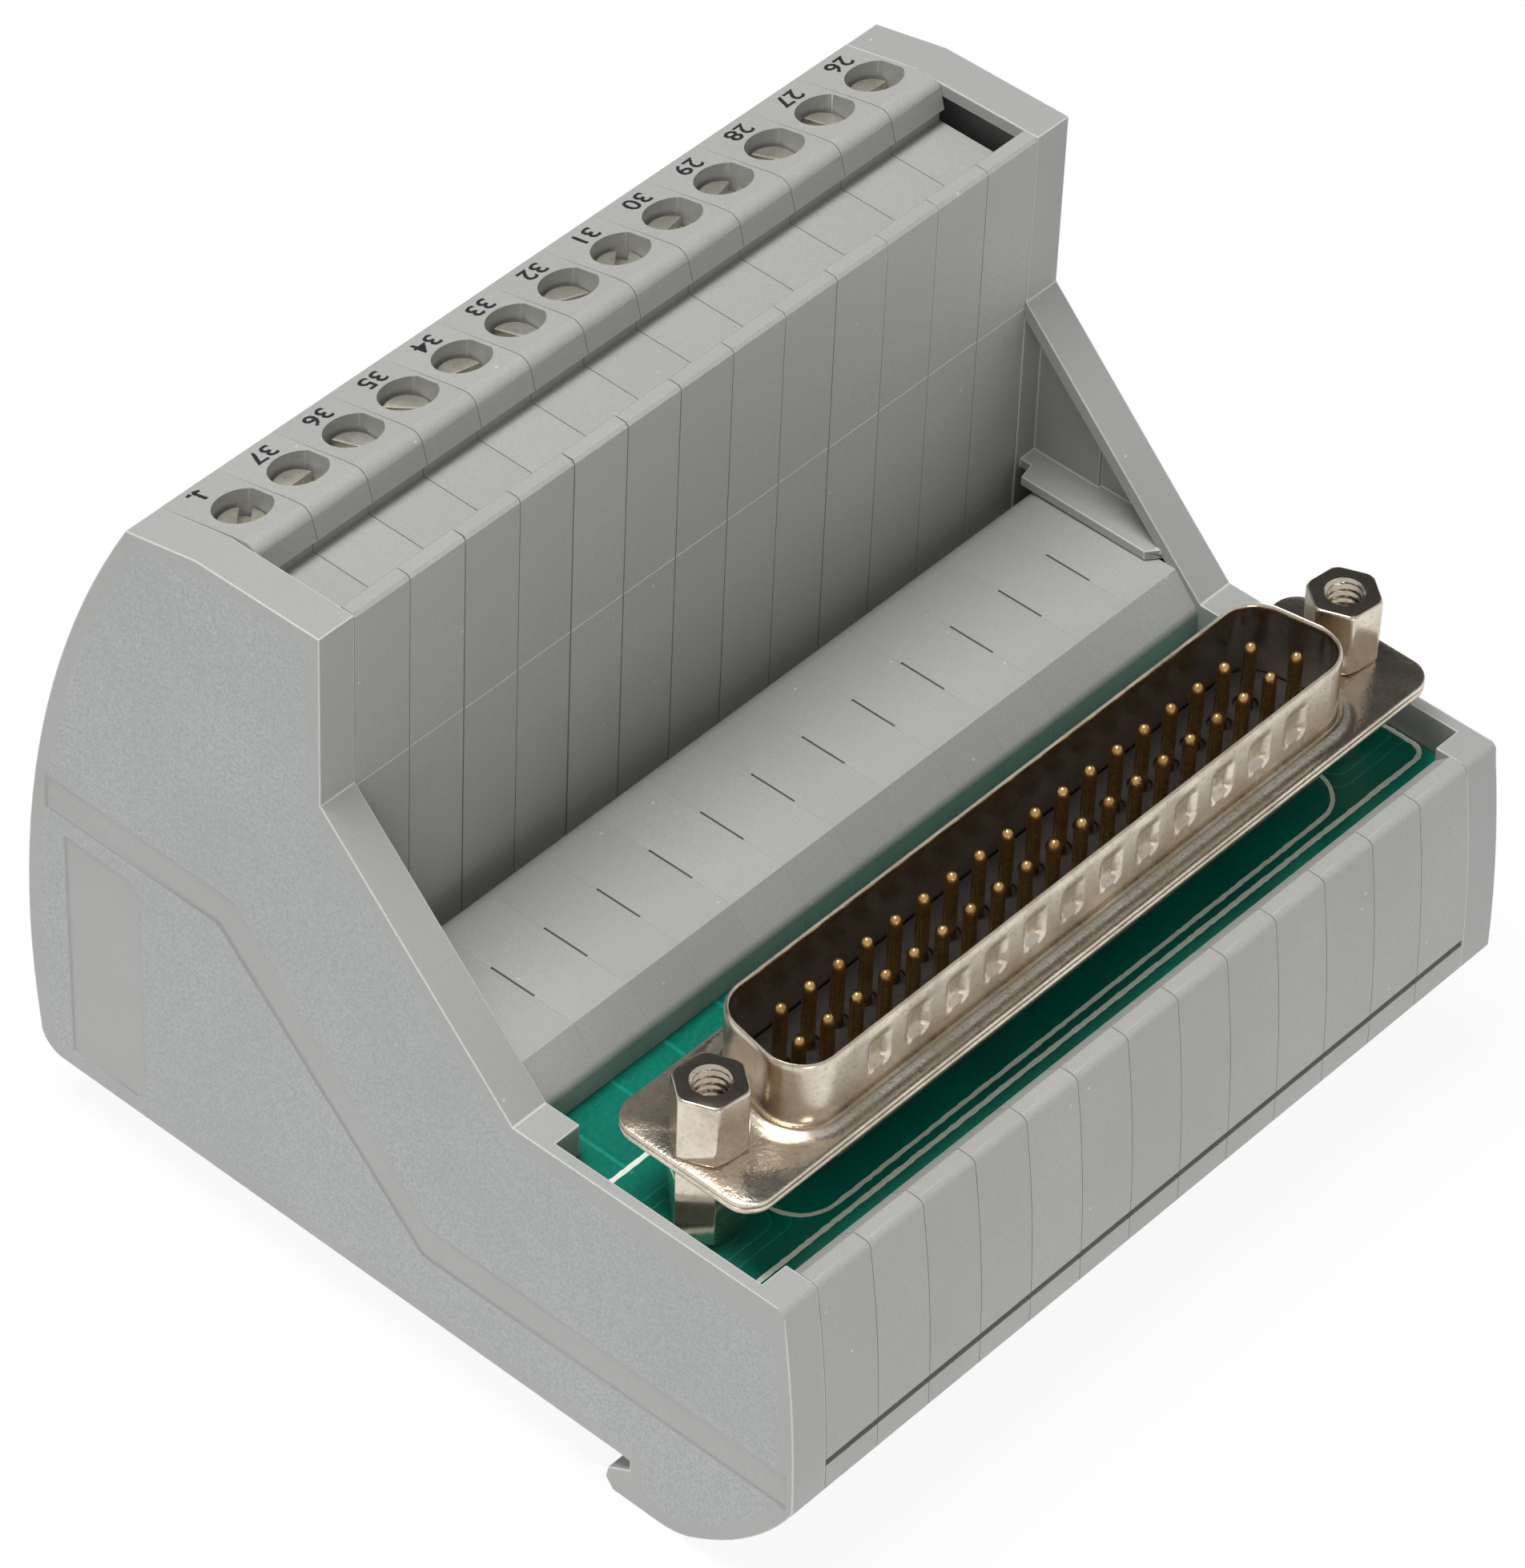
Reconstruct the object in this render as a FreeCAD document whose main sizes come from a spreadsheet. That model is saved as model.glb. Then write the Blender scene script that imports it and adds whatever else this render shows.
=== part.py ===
"""Interface module for a 35 mm rail: a 37 way D-sub plug on a circuit board, wired to 39 screw terminals.

Thirteen moulded slices stand side by side between two end covers. Each slice holds three screw terminals in
a stepped tower, the tray that the board lies in, and the foot that clips on the rail.

Frame: millimetres, +X along the row of slices, +Y from the plug towards the wire entries, +Z up.
The origin is under the middle of the object, on the plane that its feet stand on.
Pieces are drawn with their depth from the front of the foot and their height from that plane, and each
finished piece is then moved back by half the depth of the section.
"""
import FreeCAD, Part
import Sketcher
import os
import re

# Driving dimensions, in millimetres. Counts are plain numbers.
SIZES = {
    # row of slices
    "slice_count": 13,
    "slice_pitch": 5.08,
    "slice_gap": 0.06,
    "cover_depth": 3.21,
    "cover_skin": 0.93,
    "rim_wall": 1.05,
    "section_depth": 70.38,
    # rail foot
    "underside_height": 4.05,
    "rail_width": 35.0,
    "rail_seat": 14.21,
    "rail_sheet": 1.02,
    "rail_ease": 0.68,
    "hook_reach": 1.9,
    "hook_slope": 1.1,
    "hook_round": 0.9,
    "heel_depth": 11.3,
    "heel_round": 6.0,
    "foot_bend_depth": 8.9,
    "foot_bend": 0.6,
    "foot_round": 22.2,
    "front_belly": 9.8,
    "front_bulge": 115.0,
    "foot_inner_depth": 4.8,
    "seam_height": 11.95,
    "seam_width": 0.6,
    "seam_depth": 2.6,
    "seam_set": 0.04,
    "leg_play": 0.2,
    "leg_wall": 2.0,
    "leg_slot": 1.0,
    "leg_length": 8.0,
    "leg_nose": 1.2,
    "nose_land": 0.5,
    "leg_side_play": 0.35,
    "lug_reach": 3.6,
    "lug_wall": 2.2,
    # front wall and board tray
    "lip_height": 28.12,
    "lip_front": 1.95,
    "lip_shoulder": 1.38,
    "lip_round": 0.6,
    "lip_flat_end": 2.89,
    "lip_inner": 4.13,
    "lip_chamfer": 1.22,
    "board_height": 23.45,
    "board_sheet": 1.6,
    "board_play": 0.05,
    "board_front": 4.29,
    "board_back": 60.19,
    "board_end_play": 0.15,
    "board_rest": 2.5,
    "tail_space": 2.2,
    "tail_space_back": 58.4,
    # step between the tower and the board
    "step_front": 25.25,
    "step_front_height": 26.85,
    "step_round": 1.2,
    "step_round_run": 0.38,
    "step_round_rise": 0.87,
    "step_slope_run": 1.81,
    "step_slope_rise": 2.13,
    "step_top": 29.65,
    "step_back_round": 1.5,
    "step_back": 40.69,
    "groove_floor": 26.05,
    "slit_front": 31.04,
    "slit_back": 34.94,
    "slit_width": 0.08,
    "slit_depth": 0.45,
    # tower
    "tower_front": 42.09,
    "tower_break_depth": 42.21,
    "tower_break": 44.95,
    "tower_foot_depth": 42.39,
    "tower_top": 59.98,
    "lip_edge": 0.25,
    "tray_lip": 1.4,
    "tray_lip_foot": 1.9,
    "tray_floor": 56.64,
    "nose_wall": 50.77,
    "nose_undercut": 57.45,
    "nose_lip_depth": 50.36,
    "nose_lip": 57.83,
    "nose_front": 50.78,
    "nose_front_height": 59.35,
    "nose_round": 1.0,
    "nose_crest_depth": 51.89,
    "nose_crest": 60.05,
    "nose_end": 52.85,
    "face_slope": 0.236,
    "top_face": 59.46,
    "middle_face": 64.4,
    "lower_face": 69.3,
    "rear_corner": 2.1,
    # outline of the end covers
    "side_bulge": 87.3,
    "side_foot_depth": 69.77,
    "side_foot": 6.2,
    "side_belly": 16.0,
    "cover_top_depth": 59.46,
    "cover_top": 58.34,
    "cover_bend_depth": 53.12,
    "cover_bend": 59.77,
    "slope_top_depth": 42.19,
    "slope_top": 45.37,
    "slope_foot_depth": 25.06,
    "slope_foot": 27.95,
    "lug_front": 22.09,
    "shelf_front": 28.5,
    "shelf_edge_front": 29.6,
    "shelf_edge_back": 40.9,
    "shelf_base": 29.9,
    "shelf_sheet": 0.8,
    "shelf_reach": 0.9,
    "shelf_end_set": 0.3,
    "shelf_step": 1.4,
    "patch_front": 36.3,
    "patch_rise": 0.3,
    # screw terminals, heights counted down from the face at the screw hole
    "top_screw_depth": 54.92,
    "top_seat": 59.4,
    "middle_screw_depth": 61.85,
    "middle_seat": 46.0,
    "lower_screw_depth": 66.8,
    "lower_seat": 29.08,
    "screw_side": 2.86,
    "hole_round": 2.05,
    "hole_flat": 1.85,
    "hole_drop": 3.0,
    "head_drop": 1.65,
    "head_sheet": 1.3,
    "head_round": 1.78,
    "head_slot": 0.85,
    "head_slot_drop": 0.8,
    "shank_round": 1.2,
    "shank_length": 6.9,
    "shank_way": 1.4,
    "chamber_top": 3.8,
    "chamber_floor": 12.6,
    "chamber_half": 2.1,
    "chamber_side": 1.03,
    "cage_half": 2.0,
    "cage_width": 3.5,
    "cage_wall": 0.5,
    "cage_top": 6.5,
    "cage_roof": 1.6,
    "cage_base": 0.7,
    "cage_floor": 12.55,
    "cage_bore": 1.28,
    "wire_width": 3.0,
    "wire_top": 9.2,
    "wire_floor": 12.0,
    "funnel_length": 0.35,
    "funnel_flare": 0.4,
    "bar_drop": 8.6,
    "bar_sheet": 0.8,
    "bar_width": 2.2,
    "bar_play": 0.06,
    "bar_tail": 1.0,
    "top_bar_depth": 49.0,
    "middle_bar_depth": 54.2,
    "lower_bar_depth": 57.1,
    "tail_length": 1.55,
    # plug connector
    "plug_shift": 0.1,
    "plug_depth": 12.19,
    "pin_tip": 38.05,
    "pin_pitch": 2.77,
    "pin_row_space": 2.84,
    "long_row": 19,
    "pin_round": 0.51,
    "pin_point": 0.4,
    "pin_flat": 0.2,
    "pin_shoulder": 29.6,
    "pin_tail": 0.6,
    "pin_play": 0.04,
    "flange_top": 32.69,
    "flange_sheet": 0.5,
    "flange_length": 69.32,
    "flange_width": 12.55,
    "flange_corner": 2.0,
    "jack_space": 63.5,
    "jack_way": 1.55,
    "shroud_length": 57.0,
    "shroud_width": 9.1,
    "shroud_corner": 3.0,
    "shroud_lean": 0.176,
    "shroud_wall": 0.4,
    "shroud_rim": 38.5,
    "shroud_foot_round": 0.5,
    "dish_length": 56.0,
    "dish_width": 10.0,
    "dish_corner": 3.4,
    "dish_floor": 28.2,
    "dish_edge": 1.3,
    "insulator_play": 0.05,
    "insulator_face": 32.55,
    "insulator_foot": 27.2,
    "jack_across": 4.75,
    "jack_length": 5.5,
    "jack_chamfer": 0.35,
    "jack_bore": 1.25,
    "jack_bore_depth": 4.6,
    "jack_shank": 1.4,
    "jack_shank_length": 4.2,
    "jack_turn": -7.0,
    "standoff_across": 4.8,
    "standoff_collar": 2.3,
    "standoff_collar_height": 0.7,
    "standoff_bore": 1.46,
    "standoff_shank": 1.5,
    "standoff_shank_length": 1.9,
    "board_hole_play": 0.1,
}

# Which way the driver slots of the top row's screws point, in degrees, from the near end of the row
SLOT_TURNS = [38, 1, 114, 131, 167, 111, 157, 37, 8, 14, 117, 107, 177]

# Flat sides that hidden or oft repeated round forms are drawn with
HOLE_SIDES = 12
SHANK_SIDES = 8
PIN_SIDES = 8

doc = FreeCAD.newDocument("InterfaceModule")
sheet = doc.addObject("Spreadsheet::Sheet", "sizes")
for line, (alias, size) in enumerate(SIZES.items(), start=1):
    sheet.set("A%d" % line, alias)
    sheet.set("B%d" % line, str(size))
    sheet.setAlias("B%d" % line, alias)
doc.recompute()

NAMED_SIZE = re.compile(r"[a-z]+_[a-z_]+")
MADE = []


def rule(text):
    """An expression on the sheet, from one that names its sizes bare."""
    return NAMED_SIZE.sub(lambda found: "sizes." + found.group(0), str(text))


def number(text):
    """The present value of such an expression."""
    return float(sheet.evalExpression(rule(text)))


def bind(thing, **properties):
    """Tie properties of an object to the sheet."""
    for name, text in properties.items():
        thing.setExpression(name, rule(text))


def place(thing, x="0", y="0", z="0"):
    """Tie the place of an object to the sheet."""
    for axis, text in zip("xyz", (x, y, z)):
        thing.setExpression(".Placement.Base." + axis, rule(text))
    return thing


def finish(thing, label, x="0", y="0", z="0"):
    """Name a finished piece and place it, moved from the section's origin to the middle of the object."""
    thing.Label = label
    place(thing, x, y + " - section_depth / 2", z)
    MADE.append(thing)
    return thing


# Plain solids, and what is done with them


def box(name, x, y, z, length, width, height):
    solid = doc.addObject("Part::Box", name)
    bind(solid, Length=length, Width=width, Height=height)
    return place(solid, x, y, z)


def drum(name, x, y, z, radius, height):
    solid = doc.addObject("Part::Cylinder", name)
    bind(solid, Radius=radius, Height=height)
    return place(solid, x, y, z)


def cone(name, x, y, z, lower, upper, height):
    solid = doc.addObject("Part::Cone", name)
    bind(solid, Radius1=lower, Radius2=upper, Height=height)
    return place(solid, x, y, z)


def prism(name, sides, x, y, z, across, height, turn="0"):
    """A bar of regular section, from its size across the flats."""
    solid = doc.addObject("Part::Prism", name)
    solid.Polygon = sides
    solid.Placement.Rotation = FreeCAD.Rotation(FreeCAD.Vector(0, 0, 1), number(turn))
    bind(solid, Circumradius="(%s) / (2 * cos(180 deg / %d))" % (across, sides), Height=height)
    return place(solid, x, y, z)


def inscribed(radius, sides):
    """Size across the flats of the regular section that fits inside a circle."""
    return "2 * %s * cos(180 deg / %d)" % (radius, sides)


def tapered(name, sides, z, lower, upper, height):
    """A point of regular section that narrows from one circle to another."""
    ends = []
    for end, level, radius in (("foot", z, lower), ("tip", "%s + %s" % (z, height), upper)):
        outline = doc.addObject("Part::RegularPolygon", "%s_%s" % (name, end))
        outline.Polygon = sides
        bind(outline, Circumradius=radius)
        ends.append(place(outline, "0", "0", level))
    solid = doc.addObject("Part::Loft", name)
    solid.Sections = ends
    solid.Solid = True
    solid.Ruled = True
    return solid


def fuse(name, solids):
    joined = doc.addObject("Part::MultiFuse", name)
    joined.Shapes = solids
    return joined


def cut(name, base, tool):
    rest = doc.addObject("Part::Cut", name)
    rest.Base = base
    rest.Tool = tool
    return rest


def common(name, first, second):
    shared = doc.addObject("Part::MultiCommon", name)
    shared.Shapes = [first, second]
    return shared


def copy_of(name, master, x="0", y="0", z="0"):
    link = doc.addObject("App::Link", name)
    link.LinkedObject = master
    return place(link, x, y, z)


def gather(name, solids):
    group = doc.addObject("Part::Compound", name)
    group.Links = solids
    return group


# Sketched outlines. A corner is (across, up), with (radius, 1) added where an arc that bulges to the right
# of the way round leads on from it. Every coordinate and radius is tied to the sheet.


def arc_through(start, end, radius, side):
    chord = end - start
    half = chord.Length / 2
    rise = radius - (radius * radius - half * half) ** 0.5
    right = FreeCAD.Vector(chord.y, -chord.x, 0).normalize()
    middle = (start + end) * 0.5 + right * (rise * side)
    return Part.Arc(start, middle, end)


def sketch(body, name, corners, plane="YZ_Plane", offset="0"):
    """A closed outline on one of the body's own planes, moved along its normal by the offset."""
    drawing = body.newObject("Sketcher::SketchObject", name)
    base = [item for item in body.Origin.OriginFeatures if item.Role == plane][0]
    drawing.AttachmentSupport = (base, "")
    drawing.MapMode = "FlatFace"
    drawing.setExpression(".AttachmentOffset.Base.z", rule(offset))
    draw(drawing, corners)
    return drawing


def draw(drawing, corners):
    points = [FreeCAD.Vector(number(corner[0]), number(corner[1]), 0) for corner in corners]
    first = drawing.GeometryCount
    count = len(corners)
    edges = []
    for index, corner in enumerate(corners):
        here = points[index]
        there = points[(index + 1) % count]
        if len(corner) > 2:
            edges.append(arc_through(here, there, number(corner[2]), corner[3]))
        else:
            edges.append(Part.LineSegment(here, there))
    drawing.addGeometry(edges, False)
    starts = []
    for index, here in enumerate(points):
        miss = (drawing.getPoint(first + index, 1) - here).Length
        starts.append(1 if miss < (drawing.getPoint(first + index, 2) - here).Length else 2)
    ties = []
    rules = []
    for index, corner in enumerate(corners):
        edge = first + index
        following = (index + 1) % count
        ties.append(Sketcher.Constraint("Coincident", edge, 3 - starts[index], first + following,
                                        starts[following]))
        for way, text in (("DistanceX", corner[0]), ("DistanceY", corner[1])):
            rules.append((len(ties), text))
            ties.append(Sketcher.Constraint(way, -1, 1, edge, starts[index], number(text)))
        if len(corner) > 2:
            rules.append((len(ties), corner[2]))
            ties.append(Sketcher.Constraint("Radius", edge, number(corner[2])))
    before = drawing.ConstraintCount
    drawing.addConstraint(ties)
    for tie, text in rules:
        drawing.setExpression("Constraints[%d]" % (before + tie), rule(text))


def pad(body, drawing, length, up=True):
    solid = body.newObject("PartDesign::Pad", drawing.Name + "_pad")
    solid.Profile = drawing
    solid.Reversed = not up
    bind(solid, Length=length)
    return solid


def pocket(body, drawing, length, up=False):
    hollow = body.newObject("PartDesign::Pocket", drawing.Name + "_pocket")
    hollow.Profile = drawing
    hollow.Reversed = up
    bind(hollow, Length=length)
    return hollow


def round_rim(body, name, level, length, width, radius):
    """Round the edges that lie level at a height, inside a length and width about the plug's middle."""
    doc.recompute()
    base = body.Tip
    middle = FreeCAD.Vector(number("plug_shift"), number("plug_depth"), number(level))
    chosen = []
    for index, edge in enumerate(body.Shape.Edges, start=1):
        reaches = [edge.BoundBox.getPoint(corner) - middle for corner in range(8)]
        inside = all(abs(reach.z) < 0.001 and abs(reach.x) <= number(length) / 2
                     and abs(reach.y) <= number(width) / 2 + 0.001 for reach in reaches)
        if inside:
            chosen.append("Edge%d" % index)
    rounded = body.newObject("PartDesign::Fillet", name)
    rounded.Base = (base, chosen)
    bind(rounded, Radius=radius)
    return rounded


def new_body(name):
    return doc.addObject("PartDesign::Body", name)


# Places that more than one piece uses
SLICE_WIDTH = "(slice_pitch - slice_gap)"
ROW_HALF = "(slice_count * slice_pitch / 2)"
BOARD_TOP = "(board_height + board_sheet)"
LEG_FRONT = "(rail_seat + rail_width + leg_play)"
LEG_BACK = "(rail_seat + rail_width + leg_play + leg_wall)"
LEG_ROOT = "(underside_height + leg_length)"
TAIL_END = "(board_height - tail_length)"
TIERS = ("top", "middle", "lower")


def slice_start(index):
    """Where the near side of a slice lies along the row."""
    return "0 - slice_count * slice_pitch / 2 + slice_gap / 2 + %d * slice_pitch" % index


def slices():
    return range(int(number("slice_count")))


def tier_height(tier, depth):
    """Height of a tier's sloping face at some depth."""
    return "%s_seat + face_slope * (%s_screw_depth - %s)" % (tier, tier, depth)


# Outline of the front wall, the foot and the hook, which slices and covers share


def front_corners(seam):
    wall = [
        ("lip_front", "lip_height", "lip_round", 1),
        ("lip_shoulder", "lip_height - lip_round", "front_bulge", 1),
    ]
    if seam:
        wall += [
            ("seam_set", "seam_height + seam_width"),
            ("seam_depth", "seam_height + seam_width"),
            ("seam_depth", "seam_height"),
            ("seam_set", "seam_height"),
        ]
    return wall + [
        ("0", "front_belly", "foot_round", 1),
        ("foot_bend_depth", "foot_bend", "heel_round", 1),
        ("heel_depth", "0"),
        ("rail_seat + hook_reach - hook_round / 2", "0"),
        ("rail_seat + hook_reach + hook_round / 4", "hook_round"),
        ("rail_seat + hook_reach", "underside_height - rail_sheet - hook_slope"),
        ("rail_seat", "underside_height - rail_sheet"),
        ("rail_seat", "underside_height - rail_sheet / 10"),
        ("rail_seat + rail_ease", "underside_height"),
    ]


# Slice housing: the outline of the moulding, then the pockets for its three terminals


def leg_corners():
    """The springy leg that snaps behind the rail, with its slots and the lug that a driver pulls."""
    catch = "underside_height - rail_sheet - leg_play / 2"
    lug_end = LEG_BACK + " + lug_reach"
    return [
        (LEG_FRONT + " - leg_slot", "underside_height"),
        (LEG_FRONT + " - leg_slot", LEG_ROOT),
        (LEG_FRONT, LEG_ROOT),
        (LEG_FRONT, catch),
        (LEG_FRONT + " - leg_nose", catch + " - leg_play"),
        (LEG_FRONT + " - leg_nose", catch + " - leg_play - nose_land"),
        (LEG_FRONT, "0"),
        (lug_end, "0"),
        (lug_end, "lug_wall"),
        (LEG_BACK, "lug_wall"),
        (LEG_BACK, LEG_ROOT),
        (LEG_BACK + " + leg_slot", LEG_ROOT),
        (LEG_BACK + " + leg_slot", "underside_height"),
    ]


def stair_corners():
    """The three terminal steps, from the lowest up."""
    return [
        ("lower_face - rear_corner", "underside_height", "rear_corner", 1),
        ("lower_face", "underside_height + rear_corner"),
        ("lower_face", tier_height("lower", "lower_face")),
        ("middle_face", tier_height("lower", "middle_face")),
        ("middle_face", tier_height("middle", "middle_face")),
        ("top_face", tier_height("middle", "top_face")),
        ("top_face", tier_height("top", "top_face")),
        ("nose_end", tier_height("top", "nose_end")),
    ]


def marker_tray_corners():
    """The nose, the tray for marker strips and its lip, on top of the tower."""
    return [
        ("nose_crest_depth", "nose_crest", "nose_round", 1),
        ("nose_front", "nose_front_height"),
        ("nose_lip_depth", "nose_lip"),
        ("nose_wall", "nose_undercut"),
        ("nose_wall", "tray_floor"),
        ("tower_front + tray_lip_foot", "tray_floor"),
        ("tower_front + tray_lip", "tower_top - lip_edge"),
        ("tower_front + tray_lip - lip_edge", "tower_top"),
        ("tower_front + lip_edge", "tower_top"),
        ("tower_front", "tower_top - lip_edge"),
        ("tower_break_depth", "tower_break"),
        ("tower_foot_depth", "groove_floor"),
    ]


def step_corners():
    """The groove behind the step and the step down to the board."""
    nose_depth = "step_front + step_round_run"
    nose_height = "step_front_height + step_round_rise"
    return [
        ("step_back", "groove_floor"),
        ("step_back", "step_top - step_back_round", "step_back_round", 1),
        ("step_back - step_back_round", "step_top"),
        (nose_depth + " + step_slope_run", nose_height + " + step_slope_rise"),
        (nose_depth, nose_height, "step_round", 1),
        ("step_front", "step_front_height"),
    ]


def board_slot_corners():
    """The slot that the board slides into, and the space under it for solder tails."""
    roof = BOARD_TOP + " + board_play"
    bed = "board_height - board_play"
    floor = "board_height - tail_space"
    back = "board_back + board_end_play"
    return [
        ("step_front", roof),
        (back, roof),
        (back, bed),
        ("tail_space_back", bed),
        ("tail_space_back", floor),
        ("board_front + board_rest", floor),
        ("board_front + board_rest", bed),
        ("lip_inner", bed),
    ]


def terminal_space(tier):
    """What is cut from a slice for one terminal: screw hole, cage chamber, wire entry and bar slot. The
    chamber and the slot are open to one side of the slice, where the metal goes in."""
    seat = "%s_seat" % tier
    depth = "%s_screw_depth" % tier
    face = "%s_face" % tier
    bar = "%s_bar_depth" % tier
    above = "hole_drop + face_slope * hole_round * 2"
    if tier == "top":
        hole = drum(tier + "_hole_round", "screw_side", depth, seat + " - hole_drop", "hole_round", above)
    else:
        hole = prism(tier + "_hole_round", HOLE_SIDES, "screw_side", depth, seat + " - hole_drop",
                     "2 * hole_round", above)
    trim = box(tier + "_hole_trim", "screw_side - hole_round", depth + " - hole_round",
               seat + " - hole_drop", "hole_round + hole_flat", "2 * hole_round", above)
    way = box(tier + "_shank_way", "screw_side - shank_way", depth + " - shank_way",
              seat + " - chamber_top - board_play", "2 * shank_way", "2 * shank_way",
              "chamber_top - hole_drop + 2 * board_play")
    to_side = SLICE_WIDTH + " + slice_gap"
    chamber = box(tier + "_chamber", "chamber_side", depth + " - chamber_half", seat + " - chamber_floor",
                  to_side + " - chamber_side", "2 * chamber_half", "chamber_floor - chamber_top")
    entry = box(tier + "_entry", "screw_side - wire_width / 2", depth, seat + " - wire_floor", "wire_width",
                face + " - " + depth + " + slice_gap", "wire_floor - wire_top")
    funnel = doc.addObject("Part::Wedge", tier + "_funnel")
    bind(funnel, Xmin="0 - wire_width / 2", Xmax="wire_width / 2", Zmin="0", Zmax="wire_floor - wire_top",
         Ymin="0", Ymax="funnel_length + slice_gap",
         X2min="0 - wire_width / 2 - funnel_flare", X2max="wire_width / 2 + funnel_flare",
         Z2min="0 - funnel_flare", Z2max="wire_floor - wire_top + funnel_flare")
    place(funnel, "screw_side", face + " - funnel_length", seat + " - wire_floor")
    bar_side = "screw_side - bar_width / 2 - bar_play"
    level = "%s - bar_drop - bar_sheet - bar_play" % seat
    run = box(tier + "_bar_run", bar_side, bar + " - bar_play", level, to_side + " - (" + bar_side + ")",
              depth + " - " + bar, "bar_sheet + 2 * bar_play")
    if tier == "lower":
        low = level
        high = "board_height - tail_space + board_play"
    else:
        low = BOARD_TOP
        high = level + " + bar_sheet + 2 * bar_play"
    drop = box(tier + "_bar_drop", bar_side, bar + " - bar_play", low, to_side + " - (" + bar_side + ")",
               "bar_sheet + 2 * bar_play", high + " - (" + low + ")")
    return [common(tier + "_hole", hole, trim), way, chamber, entry, funnel, run, drop]


def make_slices():
    body = new_body("slice_blank")
    lip = [("lip_inner", "lip_height - lip_chamfer"), ("lip_flat_end", "lip_height")]
    corners = lip + front_corners(True) + leg_corners() + stair_corners() + marker_tray_corners()
    outline = sketch(body, "slice_outline", corners + step_corners() + board_slot_corners())
    pad(body, outline, SLICE_WIDTH)
    tools = []
    for tier in TIERS:
        tools += terminal_space(tier)
    tools.append(box("step_slit", "0 - slice_gap", "slit_front", "step_top - slit_depth",
                     "slit_width + slice_gap", "slit_back - slit_front", "1 + slit_depth"))
    for side, start in (("near", "0 - slice_gap"), ("far", SLICE_WIDTH + " - leg_side_play")):
        tools.append(box(side + "_leg_relief", start, LEG_FRONT + " - leg_slot", "lug_wall",
                         "leg_side_play + slice_gap", "leg_wall + 2 * leg_slot", LEG_ROOT + " - lug_wall"))
    master = cut("slice_form", body, fuse("terminal_spaces", tools))
    for index in slices():
        housing = copy_of("slice_%02d" % (index + 1), master)
        finish(housing, "slice_housing_%02d" % (index + 1), slice_start(index))


# End covers: a shallow moulded shell, its hollow side against the row


def cover_corners():
    return front_corners(False) + [
        ("side_foot_depth - rear_corner", "underside_height", "rear_corner", 1),
        ("side_foot_depth", "side_foot", "side_bulge", 1),
        ("section_depth", "side_belly", "side_bulge", 1),
        ("cover_top_depth", "cover_top"),
        ("cover_bend_depth", "cover_bend"),
        ("tower_front", "tower_top"),
        ("slope_top_depth", "slope_top"),
        ("slope_foot_depth", "slope_foot"),
    ]


def cover_hollow_corners():
    """Inside of the rim. It is open above the board, between the front wall and the lug."""
    roof = BOARD_TOP + " + board_play"
    floor = "board_height - tail_space"
    open_top = "lip_height + rim_wall"
    lug_back = "slope_foot_depth + rim_wall / sqrt(2)"
    return [
        ("lip_inner", open_top),
        ("lip_inner", floor),
        ("lip_shoulder + rim_wall", floor, "front_bulge - rim_wall", 1),
        ("rim_wall", "front_belly", "foot_round - rim_wall", 1),
        ("foot_inner_depth", "underside_height + rim_wall"),
        ("side_foot_depth - rim_wall", "underside_height + rim_wall", "side_bulge - rim_wall", 1),
        ("cover_top_depth - rim_wall", "cover_top - rim_wall"),
        ("cover_bend_depth", "cover_bend - rim_wall"),
        ("tower_front + rim_wall", "tower_top - rim_wall"),
        ("tower_front + rim_wall", roof),
        ("slope_top_depth", roof),
        ("slope_top_depth", "slope_top - rim_wall * sqrt(2)"),
        (lug_back, "slope_foot - rim_wall / sqrt(2)"),
        (lug_back, roof),
        ("lug_front", roof),
        ("lug_front", open_top),
    ]


def shelf_corners():
    """The shelf that reaches over the end of the step, seen from above."""
    skin = ROW_HALF + " + cover_depth - cover_skin / 2"
    edge = ROW_HALF + " - shelf_reach"
    return [
        (skin, "shelf_front"),
        (skin, "slope_top_depth + rim_wall / 2"),
        (edge + " + shelf_step", "slope_top_depth + rim_wall / 2"),
        (edge + " + shelf_step", "shelf_edge_back + shelf_end_set"),
        (edge, "shelf_edge_back"),
        (edge, "shelf_edge_front"),
        (edge + " + shelf_step", "shelf_front"),
    ]


def patch_corners():
    """The thicker part of the skin, between the shelf, the wall beside the tower and the sloping rim."""
    fall = "(slope_top - slope_foot) / (slope_top_depth - slope_foot_depth)"
    return [
        ("patch_front", "shelf_base"),
        ("slope_top_depth + rim_wall / 2", "shelf_base"),
        ("slope_top_depth + rim_wall / 2", "slope_top - rim_wall"),
        ("slope_top_depth", "slope_top - rim_wall"),
        ("patch_front", "slope_top - rim_wall - (slope_top_depth - patch_front) * " + fall),
    ]


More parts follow.
